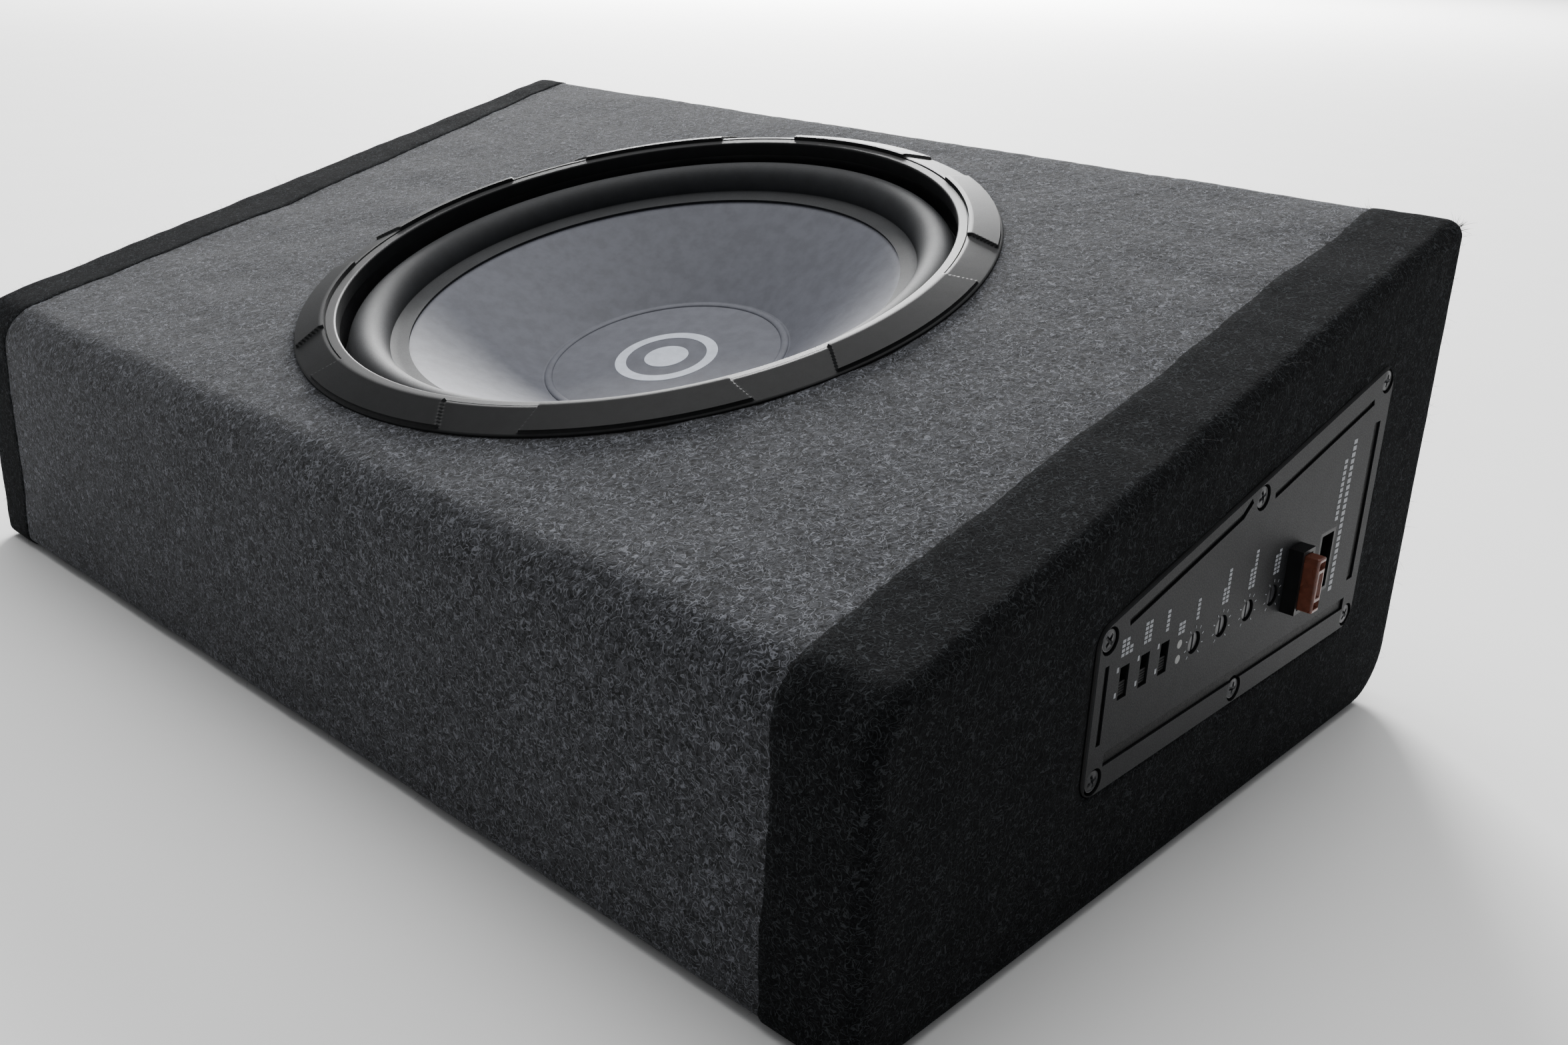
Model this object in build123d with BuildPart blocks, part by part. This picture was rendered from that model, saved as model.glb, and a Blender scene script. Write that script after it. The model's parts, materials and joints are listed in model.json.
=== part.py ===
"""Powered car subwoofer: a carpeted wedge-shaped box, a shallow woofer and a built-in amplifier.

Millimetres. X runs along the box towards the amplifier panel, Y runs from the low side to the
tall side, Z is up, and the origin is the middle of the face that the box rests on.
Lengths called "depth" inside the driver are measured along the driver's own axis, outwards
from the carpet of the sloping lid, so points inside the box have negative depths.
"""

import os
from math import atan2, cos, degrees, radians, sin, tan

from build123d import *

# ---------------------------------------------------------------- enclosure sizes
box_length = 504.0
box_width = 315.0
low_height = 105.0
tall_height = 185.0
board = 15.0
carpet = 3.0
low_lid_radius = 18.0
tall_foot_radius = 22.0
plain_edge_radius = 6.0
end_edge_radius = 5.5
right_wrap = 33.0
left_wrap = 26.0

# ---------------------------------------------------------------- driver sizes
ring_radius = 137.0
ring_height = 5.0
ring_lip_radius = 120.3
ring_bevel_radius = 125.8
ring_lip_drop = 0.6
ring_wall = 1.6
ring_blocks = 8
ring_block_angle = 31.0
ring_block_rise = 1.2
driver_up_slope = 3.0
rim_radius = 132.0
rim_thickness = 1.4
basket_wall = 2.0
basket_mouth_radius = 121.5
landing_depth = 12.6
landing_width = 5.0
basket_windows = 6
window_angle = 42.0
window_start = 18.0
window_end = 56.0
motor_flange_radius = 50.0
motor_bore_radius = 34.0
driver_screw_circle = 127.7
driver_screws_count = 8
driver_screw_head = 3.6
driver_screw_head_height = 1.4
driver_screw_shank = 2.1
driver_screw_length = 15.0
motor_screw_circle = 42.0
motor_screws_count = 4
motor_screw_head = 4.0
motor_screw_head_height = 2.6
motor_screw_shank = 2.0
motor_screw_length = 8.0
terminal_radius = 91.0
terminal_depth = 50.0
terminal_thickness = 14.0
terminal_width = 34.0
terminal_height = 12.0
tinsel_spread = 15.5
tinsel_diameter = 1.6
tinsel_route = [(0, 0, 0), (6, 0, 0), (12, 1, -2), (18, 2.5, 0), (21.5, 3.5, 6), (23, 4, 13)]
lead_spread = 4.0
lead_diameter = 2.6
lead_first_run = 14.0
lead_last_run = 16.0
lead_route = [(130, 32, 94), (144, 56, 88), (158, 82, 80)]
gasket_thickness = 0.6
cutout_clearance = 1.0
roll_radius = 8.0
surround_flange = 1.4
surround_thickness = 1.0
surround_flap = 6.8
cone_thickness = 1.2
cone_rim_drop = 1.4
cone_angle = 29.8
dust_cap_radius = 50.5
dust_cap_disc_radius = 46.5
dust_cap_thickness = 0.8
dust_cap_bead = 0.9
dust_cap_glue = 1.2
dust_cap_set_back = 0.2
emblem_radius = 21.0
emblem_band = 4.5
emblem_dot_radius = 9.0
emblem_thickness = 0.3
coil_radius = 25.0
former_thickness = 0.4
former_length = 37.0
former_rise = 4.0
winding_thickness = 1.2
winding_length = 16.0
gap_clearance = 0.8
spider_radius = 64.0
spider_depth = 60.0
spider_thickness = 0.8
spider_seat = 4.0
spider_ridges = 5
spider_ridge_height = 2.4
motor_depth = 74.0
plate_thickness = 8.0
plate_radius = 52.0
magnet_radius = 60.0
magnet_bore = 36.0
magnet_thickness = 16.0

# ---------------------------------------------------------------- amplifier sizes
panel_low = 43.8
panel_left_height = 54.0
panel_near_y = -63.8
panel_width = 176.0
panel_thickness = 3.5
panel_corner = 7.0
panel_gasket_thickness = 1.0
panel_frame = 9.5
panel_screw_inset = 5.4
panel_screw_head = 3.4
panel_screw_head_height = 1.9
panel_screw_shank = 1.6
panel_screw_length = 13.0
panel_screw_recess = 4.3
screw_cross_length = 1.25
screw_cross_width = 0.28
screw_cross_depth = 0.6
panel_gasket_inset = 0.9
groove_edge_gap = 1.5
groove_depth = 0.8
bottom_groove = 4.5
thin_groove = 2.2
near_groove = (17.0, 42.0)
far_groove = (20.0, 78.0)
near_top_groove = [(15.0, 5.5), (76.0, 5.5), (81.0, 3.0)]
far_top_groove = [(96.0, 9.0), (162.0, 9.0)]
control_height = 32.7
switch_slot_width = 4.8
switch_slot_length = 10.4
switch_travel = 4.8
switch_pitch = 11.0
first_switch = 15.3
first_pot = 55.4
pot_pitch = 16.8
pot_bore = 3.65
shaft_radius = 3.3
shaft_fit = 0.06
led_radius = 1.4
led_place = 46.3
led_pitch = 5.0
fuse_place = 117.4
fuse_rise = 2.0
fuse_body_height = 19.1
fuse_body_thickness = 5.1
fuse_body_depth = 12.5
fuse_blade_length = 14.0
fuse_blade_width = 5.2
fuse_blade_thickness = 0.7
fuse_blade_pitch = 14.0
holder_proud = 5.0
socket_place = 142.9
socket_width = 11.4
socket_height = 22.8
socket_wall = 1.3
socket_depth = 17.5
socket_back = 5.0
pin_radius = 0.6
pin_pitch = 4.0
pin_rows = 5
pin_tail = 4.0
pin_reach = 6.0
circuit_thickness = 1.6
circuit_depth = 58.0
circuit_front_gap = 4.0
circuit_notch_depth = 15.0
circuit_below_controls = 6.5
switch_rise = 1.1
switch_body_width = 9.0
switch_body_depth = 8.5
switch_body_height = 15.2
switch_recess = 3.0
knob_short = 0.6
pot_body_width = 12.0
pot_body_height = 13.0
pot_body_depth = 9.5
shaft_length = 9.0
shaft_slot_width = 0.9
shaft_slot_depth = 1.0
holder_side_wall = 1.45
holder_end_wall = 1.3
holder_side_step = 0.6
holder_end_step = 0.5
holder_grip = 7.5
holder_wall = 2.0
fuse_fit = 0.3
heat_sink_base = 4.0
heat_sink_height = 21.0
heat_sink_drop = 4.0
heat_sink_width = 120.0
heat_sink_near = 20.0
fin_length = 16.0
fin_thickness = 2.2
fin_count = 12
transistor_count = 4
transistor_pitch = 22.0
first_transistor = 16.5
transistor_width = 10.2
transistor_height = 15.0
transistor_thickness = 4.5
clamp_thickness = 2.0
clamp_height = 5.0
core_radius = 16.0
core_bore = 9.0
core_height = 12.0
core_place = (26.0, 43.5)
turn_count = 18
turn_thickness = 1.5
capacitor_radius = 6.25
capacitor_height = 22.0
capacitor_count = 4
capacitor_pitch = 16.0
capacitor_place = (28.0, 78.0)
output_size = (12.0, 16.0, 10.0)
output_place = 156.0
output_gap = 2.0
bracket_thickness = 1.5
bracket_width = 10.0
bracket_reach = 18.0
bracket_drop = 11.0
bracket_places = (66.0, 96.0)

# ---------------------------------------------------------------- shared clearances
slide_gap = 0.3
part_gap = 0.5

# ---------------------------------------------------------------- places worked out from the sizes
half_length = box_length / 2
half_width = box_width / 2
slope = degrees(atan2(tall_height - low_height, box_width))
rise = (tall_height - low_height) / box_width
lid_upright = 1 / cos(radians(slope))
shell = carpet + board


def lid_height(y, inset=0.0):
    """Height above the floor of the lid's surface, set in by a distance, at a place across the box."""
    return low_height + rise * (y + half_width) - inset * lid_upright


lid_normal = Vector(0, -sin(radians(slope)), cos(radians(slope)))
lid_uphill = Vector(0, cos(radians(slope)), sin(radians(slope)))
driver_centre = Vector(0, 0, lid_height(0)) + lid_uphill * driver_up_slope
driver_face = Plane(origin=driver_centre, x_dir=(1, 0, 0), z_dir=lid_normal)
driver_section = Plane(origin=driver_centre, x_dir=(1, 0, 0), z_dir=lid_uphill * -1)
driver_axis = Axis(driver_centre, lid_normal)

board_face = -carpet
rim_foot = board_face + gasket_thickness
rim_top = rim_foot + rim_thickness
basket_outer = basket_mouth_radius + basket_wall
cutout_radius = basket_outer + cutout_clearance
landing = -landing_depth
roll_foot = landing + surround_thickness
roll_crest_radius = basket_mouth_radius - slide_gap - surround_flange - roll_radius
roll_outer_foot = roll_crest_radius + roll_radius
cone_edge_radius = roll_crest_radius - roll_radius
cone_line_radius = cone_edge_radius - surround_flap
cone_line = landing - cone_rim_drop
flap_foot_radius = cone_edge_radius + surround_thickness
cone_slope = tan(radians(cone_angle))
former_outer = coil_radius + former_thickness


def cone_face(radius):
    """Depth of the cone's front surface inside its rim."""
    return cone_line - (cone_line_radius - radius) * cone_slope


cone_neck = cone_face(former_outer)
cone_skin = cone_thickness / cos(radians(cone_angle))
former_top = cone_neck + former_rise
former_foot = former_top - former_length
winding_outer = former_outer + winding_thickness
plate_top = -motor_depth
plate_foot = plate_top - plate_thickness
magnet_foot = plate_foot - magnet_thickness
motor_foot = magnet_foot - plate_thickness
pole_radius = coil_radius - gap_clearance
plate_bore = winding_outer + gap_clearance
winding_foot = (plate_top + plate_foot - winding_length) / 2
spider_foot = -spider_depth - spider_thickness


def flap_face(radius):
    """Depth of the cone's rim under the flap of the surround that is glued to it."""
    share = (radius - cone_line_radius) / (flap_foot_radius - cone_line_radius)
    return cone_line + share * cone_rim_drop


end_board_face = half_length - carpet
end_board_back = end_board_face - board
panel_back = end_board_face + panel_gasket_thickness
panel_front = panel_back + panel_thickness
panel_screw_seat = panel_front - panel_screw_head_height - slide_gap
control_row = panel_low + control_height
circuit_top = control_row - circuit_below_controls
circuit_front = panel_back - circuit_front_gap
circuit_back = circuit_front - circuit_depth


def panel_y(along):
    """Place across the box of a point given by its distance from the panel's near edge."""
    return panel_near_y + along


def panel_top(y):
    """Height of the panel's sloping top edge, which runs parallel to the lid."""
    return panel_low + panel_left_height + rise * (y - panel_near_y)


# ---------------------------------------------------------------- shared outlines
def box_section(inset):
    """Cross-section of the box, set in by a distance, with its four long edges rounded."""
    side = half_width - inset
    with BuildSketch(Plane.YZ) as section:
        with BuildLine():
            Polyline(
                (-side, inset),
                (side, inset),
                (side, lid_height(side, inset)),
                (-side, lid_height(-side, inset)),
                close=True,
            )
        make_face()
        low_lid = section.vertices().group_by(Axis.X)[0].sort_by(Axis.Y)[-1]
        fillet(low_lid, radius=low_lid_radius - inset)
        low_foot = section.vertices().group_by(Axis.X)[0].sort_by(Axis.Y)[0]
        fillet(low_foot, radius=plain_edge_radius - inset)
        tall_foot = section.vertices().group_by(Axis.X)[-1].sort_by(Axis.Y)[0]
        fillet(tall_foot, radius=tall_foot_radius - inset)
        tall_lid = section.vertices().group_by(Axis.X)[-1].sort_by(Axis.Y)[-1]
        fillet(tall_lid, radius=plain_edge_radius - inset)
    return section.sketch


def box_block(inset):
    """The whole box as one block, set in by a distance, with every outside edge rounded."""
    with BuildPart() as block:
        extrude(Pos(inset - half_length, 0, 0) * box_section(inset), amount=box_length - 2 * inset)
        ends = block.faces().filter_by(Axis.X).edges()
        fillet(ends, radius=end_edge_radius - inset)
    return block.part


def slab(low_x, high_x, low_y, high_y, low_z, high_z):
    """A box given by its lowest and highest corners, for cutting or intersecting."""
    centre = Pos((low_x + high_x) / 2, (low_y + high_y) / 2, (low_z + high_z) / 2)
    sides = (high_x - low_x, high_y - low_y, high_z - low_z)
    return centre * Box(*sides, mode=Mode.PRIVATE)


def panel_outline(inset, x):
    """The amplifier panel's outline at a place along the box, set in by a distance."""
    near = panel_y(inset)
    far = panel_y(panel_width - inset)
    with BuildSketch(Plane.YZ.offset(x)) as outline:
        with BuildLine():
            Polyline(
                (near, panel_low + inset),
                (far, panel_low + inset),
                (far, panel_top(far) - inset * lid_upright),
                (near, panel_top(near) - inset * lid_upright),
                close=True,
            )
        make_face()
        fillet(outline.vertices(), radius=panel_corner - inset / 2)
    return outline.sketch


def turn(points, angle=360.0):
    """Turn a closed outline of (radius, depth) points about the driver's axis."""
    with BuildSketch(driver_section) as outline:
        with BuildLine():
            Polyline(*points, close=True)
        make_face()
    revolve(outline.sketch, axis=driver_axis, revolution_arc=angle)


def driver_point(radius, angle, depth):
    """A point of the driver given by its radius, its angle from +X and its depth."""
    turned = radians(angle)
    return driver_face.from_local_coords((radius * cos(turned), radius * sin(turned), depth))


def screw(place, head_radius, head_height, shank_radius, length):
    """A cross-recessed pan-head screw whose head sits on the given plane, its cross a share of its head."""
    with BuildSketch(place) as head:
        Circle(head_radius)
    extrude(head.sketch, amount=head_height)
    with BuildSketch(place) as shank:
        Circle(shank_radius)
    extrude(shank.sketch, amount=-length)
    with BuildSketch(place.offset(head_height)) as recess:
        Rectangle(head_radius * screw_cross_length, head_radius * screw_cross_width)
        Rectangle(head_radius * screw_cross_width, head_radius * screw_cross_length)
    extrude(recess.sketch, amount=-head_height * screw_cross_depth, mode=Mode.SUBTRACT)


def lead_radii(points, share=0.45):
    """Bend radii of a lead: each arc takes a share of the shorter run beside it."""
    radii = []
    for before, corner, after in zip(points, points[1:], points[2:]):
        half_turn = radians((corner - before).get_angle(after - corner)) / 2
        shorter = min((corner - before).length, (after - corner).length)
        radii.append(share * shorter / tan(half_turn))
    return radii


def lead(points, diameter):
    """A round lead along straight runs joined by tangent arcs."""
    radii = lead_radii(points)
    print("lead bend radii", [round(radius, 1) for radius in radii])
    with BuildLine() as path:
        FilletPolyline(*points, radius=radii)
    with BuildSketch(Plane(origin=path.line @ 0, z_dir=path.line % 0)) as end:
        Circle(diameter / 2)
    sweep(end.sketch, path=path.line)


def save(piece, label):
    """Label a finished piece and write it to the parts folder."""
    piece.part.label = label
    export_step(piece.part, f"parts/{label}.step")


os.makedirs("parts", exist_ok=True)

# ---------------------------------------------------------------- boards
boards = box_block(carpet)
inner_half = end_board_back
far_out = box_length

with BuildPart() as bottom_board:
    add(boards)
    add(slab(-inner_half, inner_half, -far_out, far_out, 0, shell), mode=Mode.INTERSECT)
save(bottom_board, "bottom_board")

with BuildPart() as baffle_board:
    add(boards)
    with BuildSketch(Plane.YZ.offset(-inner_half)):
        with BuildLine():
            Polyline(
                (-half_width, lid_height(-half_width, shell)),
                (half_width, lid_height(half_width, shell)),
                (half_width, far_out),
                (-half_width, far_out),
                close=True,
            )
        make_face()
    extrude(amount=2 * inner_half, mode=Mode.INTERSECT)
    with BuildSketch(driver_face.offset(-2 * shell)):
        Circle(cutout_radius)
    extrude(amount=2 * shell, mode=Mode.SUBTRACT)
    with BuildSketch(driver_face.offset(rim_top)):
        with PolarLocations(driver_screw_circle, driver_screws_count):
            Circle(driver_screw_shank)
    extrude(amount=-driver_screw_length, mode=Mode.SUBTRACT)
save(baffle_board, "baffle_board")

for label, low_y, high_y in (
    ("low_side_board", -half_width, -half_width + shell),
    ("tall_side_board", half_width - shell, half_width),
):
    with BuildPart() as side_board:
        add(boards)
        with BuildSketch(Plane.YZ.offset(-inner_half)):
            with BuildLine():
                Polyline(
                    (low_y, shell),
                    (high_y, shell),
                    (high_y, lid_height(high_y, shell)),
                    (low_y, lid_height(low_y, shell)),
                    close=True,
                )
            make_face()
        extrude(amount=2 * inner_half, mode=Mode.INTERSECT)
    save(side_board, label)

with BuildPart() as left_end_board:
    add(boards)
    add(slab(-far_out, -inner_half, -far_out, far_out, 0, far_out), mode=Mode.INTERSECT)
save(left_end_board, "left_end_board")

screw_low = panel_low + panel_screw_inset
screw_drop = panel_screw_inset * lid_upright
panel_screw_places = []
for along in (panel_screw_inset, panel_width / 2, panel_width - panel_screw_inset):
    y = panel_y(along)
    panel_screw_places.append((y, screw_low))
    panel_screw_places.append((y, panel_top(y) - screw_drop))

with BuildPart() as right_end_board:
    add(boards)
    add(slab(inner_half, far_out, -far_out, far_out, 0, far_out), mode=Mode.INTERSECT)
    extrude(panel_outline(panel_frame, end_board_back), amount=board, mode=Mode.SUBTRACT)
    with BuildSketch(Plane.YZ.offset(panel_screw_seat)):
        with Locations(*panel_screw_places):
            Circle(panel_screw_shank)
    extrude(amount=-panel_screw_length, mode=Mode.SUBTRACT)
save(right_end_board, "right_end_board")

# ---------------------------------------------------------------- carpets
skin = box_block(0) - boards
foot_low = -half_width + plain_edge_radius
foot_high = half_width - tall_foot_radius
grey_low = -half_length + left_wrap
grey_high = half_length - right_wrap
foot_sheet = slab(grey_low, grey_high, foot_low, foot_high, 0, carpet)

with BuildPart() as bottom_carpet:
    add(skin)
    add(foot_sheet, mode=Mode.INTERSECT)
save(bottom_carpet, "bottom_carpet")

with BuildPart() as grey_carpet:
    add(skin)
    add(slab(grey_low, grey_high, -far_out, far_out, 0, far_out), mode=Mode.INTERSECT)
    add(foot_sheet, mode=Mode.SUBTRACT)
    with BuildSketch(driver_face.offset(-shell)):
        Circle(rim_radius + part_gap)
    extrude(amount=2 * shell, mode=Mode.SUBTRACT)
save(grey_carpet, "grey_carpet")

with BuildPart() as left_end_carpet:
    add(skin)
    add(slab(-far_out, grey_low, -far_out, far_out, 0, far_out), mode=Mode.INTERSECT)
save(left_end_carpet, "left_end_carpet")

with BuildPart() as right_end_carpet:
    add(skin)
    add(slab(grey_high, far_out, -far_out, far_out, 0, far_out), mode=Mode.INTERSECT)
    extrude(panel_outline(-part_gap, end_board_face), amount=carpet, mode=Mode.SUBTRACT)
save(right_end_carpet, "right_end_carpet")

# ---------------------------------------------------------------- driver, fixed pieces
lip_top = ring_height - ring_lip_drop
with BuildPart() as trim_ring:
    turn(
        [
            (ring_radius, 0),
            (ring_bevel_radius, ring_height),
            (ring_lip_radius, lip_top),
            (ring_lip_radius, rim_top),
            (ring_lip_radius + ring_wall, rim_top),
            (ring_lip_radius + ring_wall, lip_top - ring_wall),
            (ring_bevel_radius, ring_height - ring_wall),
            (ring_radius - 2 * ring_wall, 0),
        ]
    )
    with BuildSketch(driver_section) as block_outline:
        with BuildLine():
            Polyline(
                (ring_radius - ring_block_rise, 0),
                (ring_bevel_radius, ring_height - ring_block_rise),
                (ring_bevel_radius, ring_height + ring_block_rise),
                (ring_radius - ring_block_rise, ring_block_rise),
                close=True,
            )
        make_face()
    for index in range(ring_blocks):
        start = 360 / ring_blocks * index - ring_block_angle / 2
        turned = block_outline.sketch.rotate(driver_axis, start)
        revolve(turned, axis=driver_axis, revolution_arc=ring_block_angle)
save(trim_ring, "trim_ring")

with BuildPart() as driver_gasket:
    turn(
        [
            (cutout_radius, board_face),
            (rim_radius, board_face),
            (rim_radius, rim_foot),
            (cutout_radius, rim_foot),
        ]
    )
    with BuildSketch(driver_face.offset(rim_foot)):
        with PolarLocations(driver_screw_circle, driver_screws_count):
            Circle(driver_screw_shank + slide_gap)
    extrude(amount=-gasket_thickness, mode=Mode.SUBTRACT)
save(driver_gasket, "driver_gasket")

seat_inner = spider_radius - spider_seat
with BuildPart() as driver_basket:
    turn(
        [
            (rim_radius, rim_foot),
            (rim_radius, rim_top),
            (basket_mouth_radius, rim_top),
            (basket_mouth_radius, landing),
            (basket_mouth_radius - landing_width, landing),
            (spider_radius + basket_wall, spider_foot),
            (seat_inner, spider_foot),
            (motor_flange_radius, plate_top + basket_wall),
            (motor_bore_radius, plate_top + basket_wall),
            (motor_bore_radius, plate_top),
            (motor_flange_radius + basket_wall, plate_top),
            (seat_inner + basket_wall, spider_foot - basket_wall),
            (spider_radius + 2 * basket_wall, spider_foot - basket_wall),
            (basket_mouth_radius - basket_wall, landing - basket_wall),
            (basket_outer, landing - basket_wall),
            (basket_outer, rim_foot),
        ]
    )
    with BuildSketch(driver_section) as window_outline:
        with BuildLine():
            Polyline(
                (basket_outer, -window_start),
                (basket_outer, -window_end),
                (motor_flange_radius, -window_end),
                (motor_flange_radius, -window_start),
                close=True,
            )
        make_face()
    for index in range(basket_windows):
        start = 360 / basket_windows * (index + 0.5) - window_angle / 2
        turned = window_outline.sketch.rotate(driver_axis, start)
        revolve(turned, axis=driver_axis, revolution_arc=window_angle, mode=Mode.SUBTRACT)
    with BuildSketch(driver_face.offset(rim_top)):
        with PolarLocations(driver_screw_circle, driver_screws_count):
            Circle(driver_screw_shank + slide_gap)
    extrude(amount=-rim_thickness, mode=Mode.SUBTRACT)
    with BuildSketch(driver_face.offset(plate_top)):
        with PolarLocations(motor_screw_circle, motor_screws_count):
            Circle(motor_screw_shank + slide_gap)
    extrude(amount=basket_wall, mode=Mode.SUBTRACT)
save(driver_basket, "driver_basket")

with BuildPart() as driver_screws:
    for index in range(driver_screws_count):
        seat = driver_point(driver_screw_circle, 360 / driver_screws_count * index, rim_top)
        screw(
            Plane(origin=seat, x_dir=(1, 0, 0), z_dir=lid_normal),
            driver_screw_head,
            driver_screw_head_height,
            driver_screw_shank,
            driver_screw_length,
        )
save(driver_screws, "driver_screws")

with BuildPart() as motor_screws:
    for index in range(motor_screws_count):
        seat = driver_point(motor_screw_circle, 360 / motor_screws_count * index, plate_top + basket_wall)
        screw(
            Plane(origin=seat, x_dir=(1, 0, 0), z_dir=lid_normal),
            motor_screw_head,
            motor_screw_head_height,
            motor_screw_shank,
            motor_screw_length,
        )
save(motor_screws, "motor_screws")

with BuildPart() as top_plate:
    turn(
        [
            (plate_bore, plate_top),
            (plate_radius, plate_top),
            (plate_radius, plate_foot),
            (plate_bore, plate_foot),
        ]
    )
    with BuildSketch(driver_face.offset(plate_top)):
        with PolarLocations(motor_screw_circle, motor_screws_count):
            Circle(motor_screw_shank)
    extrude(amount=basket_wall - motor_screw_length, mode=Mode.SUBTRACT)
save(top_plate, "top_plate")

with BuildPart() as magnet:
    turn(
        [
            (magnet_bore, plate_foot),
            (magnet_radius, plate_foot),
            (magnet_radius, magnet_foot),
            (magnet_bore, magnet_foot),
        ]
    )
save(magnet, "magnet")

with BuildPart() as back_plate:
    turn(
        [
            (0, motor_foot),
            (plate_radius, motor_foot),
            (plate_radius, magnet_foot),
            (pole_radius, magnet_foot),
            (pole_radius, plate_top),
            (0, plate_top),
        ]
    )
save(back_plate, "back_plate")

terminal_centre = driver_point(terminal_radius, 0, -terminal_depth)
terminal_place = Plane(origin=terminal_centre, x_dir=(1, 0, 0), z_dir=lid_normal)
with BuildPart() as terminal_block:
    with BuildSketch(terminal_place.offset(-terminal_height / 2)):
        Rectangle(terminal_thickness, terminal_width)
    extrude(amount=terminal_height)
    add(driver_basket.part, mode=Mode.SUBTRACT)
save(terminal_block, "terminal_block")

# ---------------------------------------------------------------- driver, moving pieces
inner_roll = roll_radius - surround_thickness
with BuildPart() as surround:
    with BuildSketch(driver_section) as roll_outline:
        with BuildLine():
            Polyline(
                (roll_crest_radius + inner_roll, roll_foot),
                (roll_crest_radius + inner_roll, landing),
                (basket_mouth_radius - slide_gap, landing),
                (basket_mouth_radius - slide_gap, roll_foot),
                (roll_outer_foot, roll_foot),
            )
            CenterArc((roll_crest_radius, roll_foot), roll_radius, 0, 180)
            Polyline(
                (cone_edge_radius, roll_foot),
                (cone_line_radius, cone_line + surround_thickness),
                (cone_line_radius, cone_line),
                (flap_foot_radius, landing),
                (flap_foot_radius, roll_foot),
            )
            CenterArc((roll_crest_radius, roll_foot), inner_roll, 0, 180)
        make_face()
    revolve(roll_outline.sketch, axis=driver_axis)
save(surround, "surround")

cone_rim = cone_edge_radius - part_gap
with BuildPart() as cone:
    turn(
        [
            (cone_rim, flap_face(cone_rim)),
            (cone_line_radius, cone_line),
            (former_outer, cone_neck),
            (former_outer, cone_neck - cone_skin),
            (cone_line_radius, cone_line - cone_skin),
            (cone_rim, flap_face(cone_rim) - cone_skin),
        ]
    )
save(cone, "cone")

cap_face = cone_face(dust_cap_radius) - dust_cap_set_back
cap_shoulder = dust_cap_disc_radius + 2 * dust_cap_bead
cap_glue_radius = dust_cap_radius - dust_cap_glue
with BuildPart() as dust_cap:
    turn(
        [
            (0, cap_face),
            (dust_cap_disc_radius, cap_face),
            (cap_shoulder, cap_face + dust_cap_bead),
            (dust_cap_radius, cone_face(dust_cap_radius)),
            (cap_glue_radius, cone_face(cap_glue_radius)),
            (cap_shoulder, cap_face + dust_cap_bead - dust_cap_thickness),
            (dust_cap_disc_radius + dust_cap_bead / 2, cap_face - dust_cap_thickness),
            (0, cap_face - dust_cap_thickness),
        ]
    )
save(dust_cap, "dust_cap")

with BuildPart() as cap_emblem:
    with BuildSketch(driver_face.offset(cap_face)):
        Circle(emblem_radius)
        Circle(emblem_radius - emblem_band, mode=Mode.SUBTRACT)
        Circle(emblem_dot_radius)
    extrude(amount=emblem_thickness)
save(cap_emblem, "cap_emblem")

with BuildPart() as coil_former:
    turn(
        [
            (coil_radius, former_foot),
            (former_outer, former_foot),
            (former_outer, former_top),
            (coil_radius, former_top),
        ]
    )
save(coil_former, "coil_former")

with BuildPart() as voice_coil:
    turn(
        [
            (former_outer, winding_foot),
            (winding_outer, winding_foot),
            (winding_outer, winding_foot + winding_length),
            (former_outer, winding_foot + winding_length),
        ]
    )
save(voice_coil, "voice_coil")

corrugation = (seat_inner - former_outer) / (2 * spider_ridges + 1)
spider_line = [(former_outer + corrugation / 2, -spider_depth)]
for ridge in range(1, 2 * spider_ridges + 1):
    side = spider_ridge_height / 2 * (-1) ** ridge
    spider_line.append((former_outer + corrugation * (ridge + 0.5), side - spider_depth))
spider_line = [(former_outer, -spider_depth)] + spider_line + [(spider_radius, -spider_depth)]
spider_line.insert(-1, (seat_inner, -spider_depth))
spider_under = [(radius, depth - spider_thickness) for radius, depth in reversed(spider_line)]
with BuildPart() as spider:
    turn(spider_line + spider_under)
save(spider, "spider")

terminal_face = terminal_radius - terminal_thickness / 2
with BuildPart() as tinsel_leads:
    for side in (-1, 1):
        points = [
            driver_face.from_local_coords(
                (terminal_face - inwards, side * (tinsel_spread - across), outwards - terminal_depth)
            )
            for inwards, across, outwards in tinsel_route
        ]
        lead(points, tinsel_diameter)
save(tinsel_leads, "tinsel_leads")

# ---------------------------------------------------------------- amplifier, panel and its fixings
holder_width = fuse_body_thickness + 2 * (fuse_fit + holder_side_wall)
holder_height = fuse_body_height + 2 * (fuse_fit + holder_end_wall)
holder_neck_width = holder_width - 2 * holder_side_step
holder_neck_height = holder_height - 2 * holder_end_step
slot_centre = control_row + switch_rise
switch_places = [(panel_y(first_switch + switch_pitch * index), slot_centre) for index in range(3)]
pot_places = [(panel_y(first_pot + pot_pitch * index), control_row) for index in range(4)]
led_places = [(panel_y(led_place), control_row + side * led_pitch / 2) for side in (-1, 1)]
fuse_centre = (panel_y(fuse_place), slot_centre + fuse_rise)
socket_centre = (panel_y(socket_place), slot_centre)
far_border = panel_width - panel_frame

bottom_line = panel_frame + groove_edge_gap
far_line = far_border + groove_edge_gap
groove_runs = [
    (bottom_groove, [(panel_frame, bottom_line), (far_border, bottom_line)]),
    (thin_groove, [(panel_screw_inset, near_groove[0]), (panel_screw_inset, near_groove[1])]),
    (bottom_groove, [(far_line, far_groove[0]), (far_line, far_groove[1])]),
]
top_groove_runs = [near_top_groove, far_top_groove]


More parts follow.
